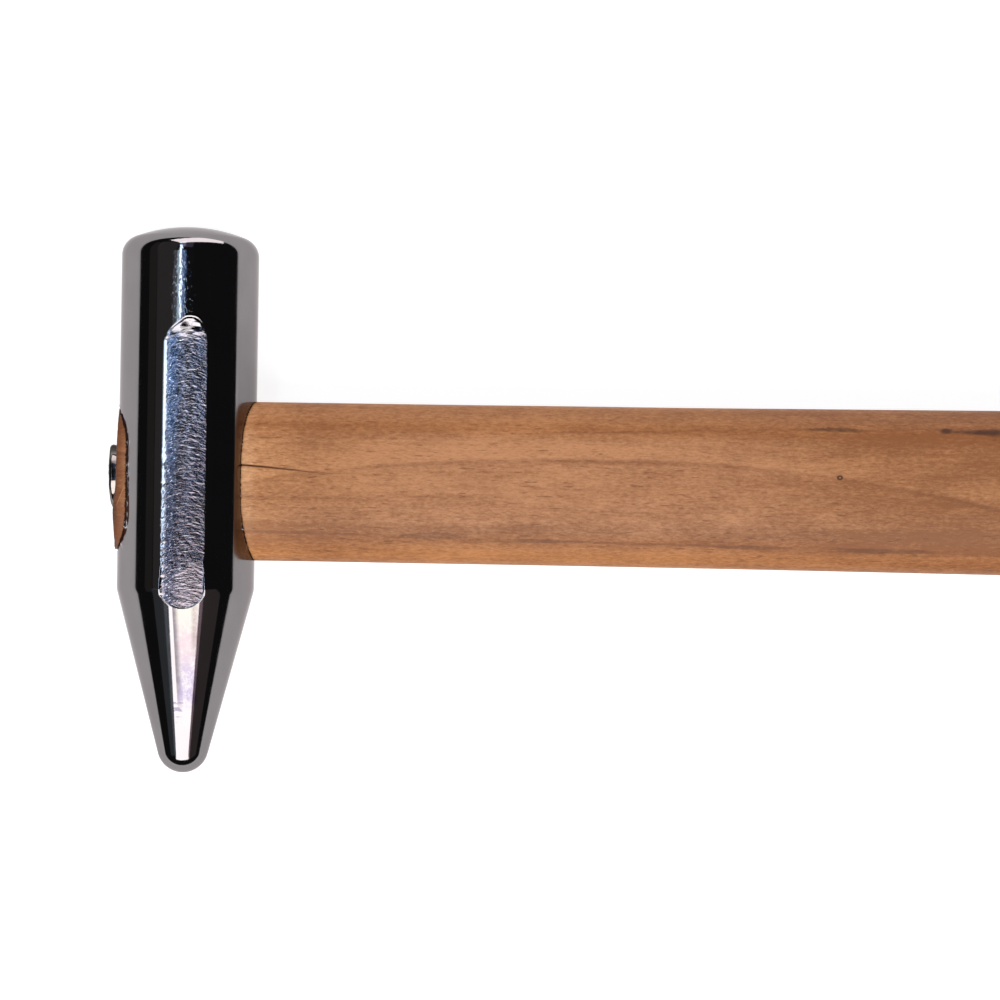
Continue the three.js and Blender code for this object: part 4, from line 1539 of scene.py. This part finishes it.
def edge_streaks(weave, x, y, clouds):
    """Dark streaks near the edges: ovals frayed by a noise."""
    spots = []
    for at_x, at_y, half_x, half_y, depth in STREAKS:
        along = weave.maths("DIVIDE", weave.maths("SUBTRACT", x, at_x * MM), half_x * MM)
        aside = weave.maths("DIVIDE", weave.maths("SUBTRACT", y, at_y * MM), half_y * MM)
        away = weave.plus(weave.times(along, along), weave.times(aside, aside))
        spots.append(weave.ease(weave.sway(clouds, STREAK_FRAY, away), *STREAK_EDGE, depth, 0.0))
    return weave.join("MAXIMUM", spots)


def crack_stain(weave, x, y, z):
    """How dark the wood is beside the drying crack, on its own side of the handle."""
    line = weave.maths("MULTIPLY_ADD", x, CRACK_SLOPE, CRACK_START[1] - CRACK_SLOPE * CRACK_START[0])
    beside = weave.near(weave.maths("SUBTRACT", y, line), *STAIN_BESIDE)
    upper_side = weave.ease(z, AXIS_HEIGHT, AXIS_HEIGHT + STAIN_ABOVE)
    return weave.times(beside, weave.ramp(x, *STAIN_UNTIL), upper_side)


def soiled_and_shaded_end(weave, handle, x, y, colour, ripples):
    """The colour with soiling and painted shade towards the sawn end, and with painted shade beside and a
    painted highlight along the splinter that the ring wedge has raised.
    """
    # Soiling and painted shade towards the sawn end.
    soil_and_shade = weave.times(weave.ramp(x, *SOIL_AND_SHADE_FROM), weave.ease(ripples, *SOIL_AND_SHADE_RIPPLES))
    colour = weave.blend(soil_and_shade, colour, SOIL_AND_SHADE)
    # Painted shade on one side of the splinter's line and a painted highlight along it.
    splinter = weave.maths("MULTIPLY_ADD", y, SPLINTER_SLOPE, weave.plus(x, SPLINTER_AT))
    in_split = weave.times(weave.ramp(y, *SPLIT_FROM), weave.ramp(y, *SPLIT_UNTIL))
    splinter_shade = weave.times(weave.ramp(splinter, *SPLINTER_SHADE_FROM), weave.ramp(splinter, *SPLINTER_SHADE_UNTIL))
    colour = weave.blend(weave.times(splinter_shade, in_split), colour, handle.fleck)
    splinter_highlight = weave.times(weave.near(splinter, *SPLINTER_HIGHLIGHT), in_split)
    return weave.blend(splinter_highlight, colour, handle.pale)


def joint_grime_and_shade(weave, place_at, grains):
    """Grime and painted shade where the wood meets the head, with a rippled and speckled edge."""
    from_axis = weave.distance(place_at, (0, 0, AXIS_HEIGHT), (1, 0, 1))
    from_axis = weave.sway(grains["ripples"], GRIME_AND_SHADE_RIPPLE, from_axis)
    from_axis = weave.sway(grains["specks"], GRIME_AND_SHADE_SPECKLE, from_axis)
    return weave.ramp(from_axis, *GRIME_AND_SHADE_REACH)


def end_grain(weave, handle, x, colour, pores):
    """The colour with end grain on the sawn end and, half as strong, on the butt."""
    sawn = weave.ramp(x, *SAWN_FROM)
    butt = weave.ease(x, handle.reach - BUTT_FROM, handle.reach - BUTT_FULL, 0.0, BUTT_SHARE)
    dark_end = dimmed(handle.end_grain, END_DIM)
    grain_colour = weave.blend(weave.ease(pores, *PORES_KEPT), dark_end, handle.end_grain)
    return weave.blend(weave.maths("MAXIMUM", sawn, butt), colour, grain_colour)


def fleck_mask(weave, place_at, scale, stretch, size, rarity, offset, depth):
    """Dashes along the grain: cells of a stretched Voronoi pattern near their centres, some left out."""
    mapped = weave.add("ShaderNodeMapping", {"Vector": place_at, "Scale": stretch, "Location": offset})
    cells = weave.tree.nodes.new("ShaderNodeTexVoronoi")
    weave.tree.links.new(mapped, cells.inputs["Vector"])
    cells.inputs["Scale"].default_value = scale
    near = weave.ease(cells.outputs["Distance"], size * FLECK_CORE, size, 1.0, 0.0)
    pick = weave.tree.nodes.new("ShaderNodeSeparateColor")
    weave.tree.links.new(cells.outputs["Color"], pick.inputs[0])
    kept = weave.maths("GREATER_THAN", pick.outputs[0], rarity)
    return weave.times(near, kept, depth)


SPLIT_GRAIN = (1600, (0.05, 1, 1), 4, 0.7)
SPLIT_DIM = 0.55
SPLIT_ROUGH = 0.75
SPLIT_BUMP = (0.5, 0.0001)


def split_wood(wedge):
    """The wooden wedge: paler, with its fibres along its length."""
    weave = Weave("split beech")
    place_at, *_ = weave.places()
    fibres = weave.grain(place_at, *SPLIT_GRAIN)
    colour = weave.blend(weave.ease(fibres, *CLOUDED), dimmed(wedge.wood, SPLIT_DIM), wedge.wood)
    values = {"Base Color": colour, "Roughness": SPLIT_ROUGH, "Normal": weave.bump(fibres, *SPLIT_BUMP)}
    return weave.finish(weave.add("ShaderNodeBsdfPrincipled", values))


RING_GRAINS = {
    "scratches": (1300, (1, 0.3, 1), 4, 0.65),
    "patches": (420, (1, 1, 1), 3),
}
RING_DIM = 0.7
# Painted shade: near-black where the ring's reflections stay dark, on its outermost edge, its ends and one
# patch.
RING_SHADE_OUTERMOST = (-13.5, -13.75)
RING_SHADE_ENDS = (0, 4.4, 5.2, 0.0, 1.0)
RING_SHADE_PATCH = (1.75, 1.75, 1.35, 0.0, 1.0)
RING_SHADE_SHARE = 0.9
RING_SHADE_BLACK = (0.05, 0.046, 0.045)
RING_TINT = (0.45, 0.43, 0.43, 1.0)
RING_DENTS = 1.5
RING_BUMP = (0.05, 0.0001)
RING_ROUGH = (0.3, 0.7, 0.05, 0.13)


def bruised_steel(wedge):
    """The ring wedge's steel: bright and scratched, with painted shade in near-black on its outermost edge,
    its ends and one patch.
    """
    weave = Weave("bruised steel")
    place_at, x, y, _ = weave.places()
    grains = weave.grains(place_at, RING_GRAINS)
    scratches, patches = grains["scratches"], grains["patches"]
    colour = weave.blend(weave.ease(patches, *CLOUDED), dimmed(wedge.steel, RING_DIM), wedge.steel)
    # Painted shade in near-black on the outermost edge, the ends and one patch.
    places = (weave.near(y, *RING_SHADE_PATCH), weave.ramp(x, *RING_SHADE_OUTERMOST), weave.near(y, *RING_SHADE_ENDS))
    colour = weave.blend(weave.times(weave.join("MAXIMUM", places), RING_SHADE_SHARE), colour, RING_SHADE_BLACK)
    relief = weave.maths("MULTIPLY_ADD", patches, RING_DENTS, scratches)
    values = {
        "Base Color": colour,
        "Metallic": 1.0,
        "Roughness": weave.ease(scratches, *RING_ROUGH),
        "Normal": weave.bump(relief, *RING_BUMP),
        "Specular Tint": RING_TINT,
    }
    return weave.finish(weave.add("ShaderNodeBsdfPrincipled", values))


def floor_white(stage):
    """White floor that keeps the shadow: matte, with a glow of its own for the camera, metal and glass."""
    weave = Weave("white floor")
    matte = weave.add("ShaderNodeBsdfDiffuse", {"Color": rgba(stage.floor_colour)})
    glow = weave.add("ShaderNodeEmission", {"Color": rgba((1, 1, 1)), "Strength": stage.floor_glow})
    ray = weave.tree.nodes.new("ShaderNodeLightPath")
    seen = weave.maths("MAXIMUM", ray.outputs["Is Camera Ray"], ray.outputs["Is Glossy Ray"])
    seen = weave.maths("MAXIMUM", seen, ray.outputs["Is Transmission Ray"])
    both = weave.add("ShaderNodeAddShader", {0: matte, 1: glow})
    mixed = weave.add("ShaderNodeMixShader", {0: seen, 1: matte, 2: both})
    return weave.finish(mixed)


# Stage


FLOOR_HALF = 7.0
FLOOR_GAP = 0.05 * MM
WORLD_DARK = (0.02, 0.02, 0.022, 1)
WORLD_PALE = (0.85, 0.85, 0.85, 1)
HORIZON_BAND = 0.02
SENSOR_WIDTH = 36
CLIP_RANGE = (0.05, 50)

# Each lamp: its lean across and along from straight up (degrees), distance, shift sideways, width and depth
# (metres), radiance and colour
LAMPS = (
    ("front panel", (0, -37.2), 1.15, 0.0145, (1.051, 1.03), 5.2, (1.0, 0.985, 0.985)),
    ("warm strip", (0, -37.2), 1.15, 0.6175, (0.145, 1.03), 0.6, (1.0, 0.72, 0.85)),
    ("warm haze", (0, -37.2), 1.15, 1.25, (1.10, 1.03), 0.085, (1.0, 0.80, 0.78)),
    ("line lamp", (-12.8, 14), 1.05, 0.0, (0.06, 0.82), 8.5, (0.66, 0.83, 1.0)),
    ("line end", (-11.0, 44), 1.10, 0.0, (0.12, 0.6), 0.8, (0.52, 0.70, 1.0)),
    ("side glow", (-16.6, 0), 1.10, 0.0, (0.09, 0.4), 1.8, (0.62, 0.84, 1.0)),
    ("far glow", (-22.0, 0), 1.10, 0.0, (0.11, 0.4), 0.25, (0.75, 0.85, 1.0)),
    ("near glow", (-9.0, 0), 1.10, 0.0, (0.09, 0.4), 1.4, (0.30, 0.50, 1.0)),
    ("last glow", (-5.0, 0), 1.10, 0.0, (0.06, 0.4), 0.5, (0.30, 0.50, 1.0)),
    ("tail glow", (-1.0, 42), 1.10, 0.0, (0.25, 0.7), 0.2, (0.60, 0.50, 0.85)),
    ("dim panel", (-37.5, 22), 1.20, 0.0, (0.69, 1.5), 0.07, (1.0, 0.96, 0.9)),
    ("dim edge", (-61.0, 22), 1.20, 0.0, (0.30, 1.5), 0.035, (1.0, 0.94, 0.8)),
    ("cone glow", (-31.5, -31), 1.15, 0.0, (0.2, 0.6), 0.25, (0.75, 0.9, 1.0)),
    ("cone haze", (-44.0, -31), 1.15, 0.0, (0.45, 0.6), 0.1, (0.75, 0.9, 1.0)),
    ("back panel", (30, 73), 1.20, 0.0, (1.46, 0.64), 4.0, (1.0, 0.95, 0.965)),
)


def make_lamp(name, lean, distance, shift, size, radiance, colour):
    """A rectangular lamp that faces the head. Its power is its radiance times pi times its area."""
    light = bpy.data.lights.new(name, "AREA")
    light.shape = "RECTANGLE"
    light.size, light.size_y = size
    light.energy = radiance * math.pi * size[0] * size[1]
    light.color = colour
    thing = bpy.data.objects.new(name, light)
    bpy.context.scene.collection.objects.link(thing)
    away = Vector([math.tan(math.radians(angle)) for angle in lean] + [1]).normalized()
    level = Vector((away.z, 0, -away.x)).normalized()
    turn = Matrix((level, away.cross(level), away)).transposed()
    thing.matrix_world = Matrix.Translation(away * distance + level * shift) @ turn.to_4x4()
    thing.visible_camera = False
    return thing


def make_world():
    """A dark room with a pale band low on the horizon."""
    world = bpy.data.worlds.new("studio")
    world.use_nodes = True
    tree = world.node_tree
    split = tree.nodes.new("ShaderNodeSeparateXYZ")
    tree.links.new(tree.nodes.new("ShaderNodeTexCoord").outputs["Generated"], split.inputs[0])
    height = tree.nodes.new("ShaderNodeMapRange")
    tree.links.new(split.outputs["Z"], height.inputs["Value"])
    height.inputs["From Min"].default_value = 0.0
    height.inputs["From Max"].default_value = HORIZON_BAND
    mix = tree.nodes.new("ShaderNodeMix")
    mix.data_type = "RGBA"
    tree.links.new(height.outputs[0], mix.inputs["Factor"])
    mix.inputs[6].default_value = WORLD_PALE
    mix.inputs[7].default_value = WORLD_DARK
    tree.links.new(mix.outputs[2], tree.nodes["Background"].inputs["Color"])
    return world


def make_stage(stage):
    """Floor, world, lamps and the camera that looks straight down on the head and the handle's front."""
    scene = bpy.context.scene
    scene.view_settings.view_transform = "Standard"
    low = CAD_BOX[0].z - FLOOR_GAP
    mesh = bpy.data.meshes.new("floor")
    signs = ((-1, -1), (1, -1), (1, 1), (-1, 1))
    mesh.from_pydata([(a * FLOOR_HALF, b * FLOOR_HALF, low) for a, b in signs], [], [(0, 1, 2, 3)])
    floor = bpy.data.objects.new("floor", mesh)
    scene.collection.objects.link(floor)
    floor.data.materials.append(floor_white(stage))

    scene.world = make_world()
    for settings in LAMPS:
        make_lamp(*settings)

    camera = bpy.data.cameras.new("camera")
    camera.sensor_width = SENSOR_WIDTH
    camera.lens = SENSOR_WIDTH * stage.camera_distance / stage.frame_width
    camera.clip_start, camera.clip_end = CLIP_RANGE
    thing = bpy.data.objects.new("camera", camera)
    scene.collection.objects.link(thing)
    thing.location = (stage.aim_x, stage.aim_y, AXIS_HEIGHT + stage.camera_distance)
    thing.rotation_euler = (0, 0, stage.roll)
    scene.camera = thing


# Operators


class HAMMER_OT_head(bpy.types.Operator):
    """Make the steel head"""

    bl_idname = "hammer.head"
    bl_label = "Head"

    def execute(self, context):
        head = context.scene.hammer_head
        place(make_head_mesh(head), "hammer_head", plated_steel(head))
        return {"FINISHED"}


class HAMMER_OT_handle(bpy.types.Operator):
    """Make the beech handle, with the kerf and the ring wedge's seat cut into its tongue"""

    bl_idname = "hammer.handle"
    bl_label = "Handle"

    def execute(self, context):
        scene = context.scene
        handle, wedge, head = scene.hammer_handle, scene.hammer_wedge, scene.hammer_head
        thing = make_handle_mesh(handle, head)
        cut(thing, kerf_cutter(wedge, handle, head))
        cut(thing, seat_cutter(wedge))
        place(thing, "handle", beech(handle))
        return {"FINISHED"}


class HAMMER_OT_wedges(bpy.types.Operator):
    """Make the wooden wedge and the steel ring wedge"""

    bl_idname = "hammer.wedges"
    bl_label = "Wedges"

    def execute(self, context):
        scene = context.scene
        handle, wedge, head = scene.hammer_handle, scene.hammer_wedge, scene.hammer_head
        wooden = make_kerf_wedge_mesh(wedge, handle, head)
        cut(wooden, seat_cutter(wedge))
        place(wooden, "kerf_wedge", split_wood(wedge))
        place(make_ring_mesh(wedge), "ring_wedge", bruised_steel(wedge))
        return {"FINISHED"}


class HAMMER_OT_stage(bpy.types.Operator):
    """Make the floor, the lamps and the camera"""

    bl_idname = "hammer.stage"
    bl_label = "Stage"

    def execute(self, context):
        make_stage(context.scene.hammer_stage)
        return {"FINISHED"}


class HAMMER_PT_panel(bpy.types.Panel):
    """Lists the pieces and their settings"""

    bl_label = "Auto body hammer"
    bl_space_type = "VIEW_3D"
    bl_region_type = "UI"
    bl_category = "Hammer"

    def draw(self, context):
        layout = self.layout
        for operator, group in PIECES:
            layout.operator(operator)
            settings = getattr(context.scene, group)
            for name in settings.bl_rna.properties.keys():
                if name not in {"rna_type", "name"}:
                    layout.prop(settings, name)


SETTINGS = {
    "hammer_head": HeadSettings,
    "hammer_handle": HandleSettings,
    "hammer_wedge": WedgeSettings,
    "hammer_stage": StageSettings,
}
PIECES = (
    ("hammer.stage", "hammer_stage"),
    ("hammer.head", "hammer_head"),
    ("hammer.handle", "hammer_handle"),
    ("hammer.wedges", "hammer_wedge"),
)
CLASSES = (
    *SETTINGS.values(),
    HAMMER_OT_head,
    HAMMER_OT_handle,
    HAMMER_OT_wedges,
    HAMMER_OT_stage,
    HAMMER_PT_panel,
)


def register():
    for kind in CLASSES:
        bpy.utils.register_class(kind)
    for name, kind in SETTINGS.items():
        setattr(bpy.types.Scene, name, PointerProperty(type=kind))


def unregister():
    for name in SETTINGS:
        delattr(bpy.types.Scene, name)
    for kind in reversed(CLASSES):
        bpy.utils.unregister_class(kind)


def main():
    register()
    bpy.ops.hammer.stage()
    bpy.ops.hammer.head()
    bpy.ops.hammer.handle()
    bpy.ops.hammer.wedges()


if __name__ == "__main__":
    main()
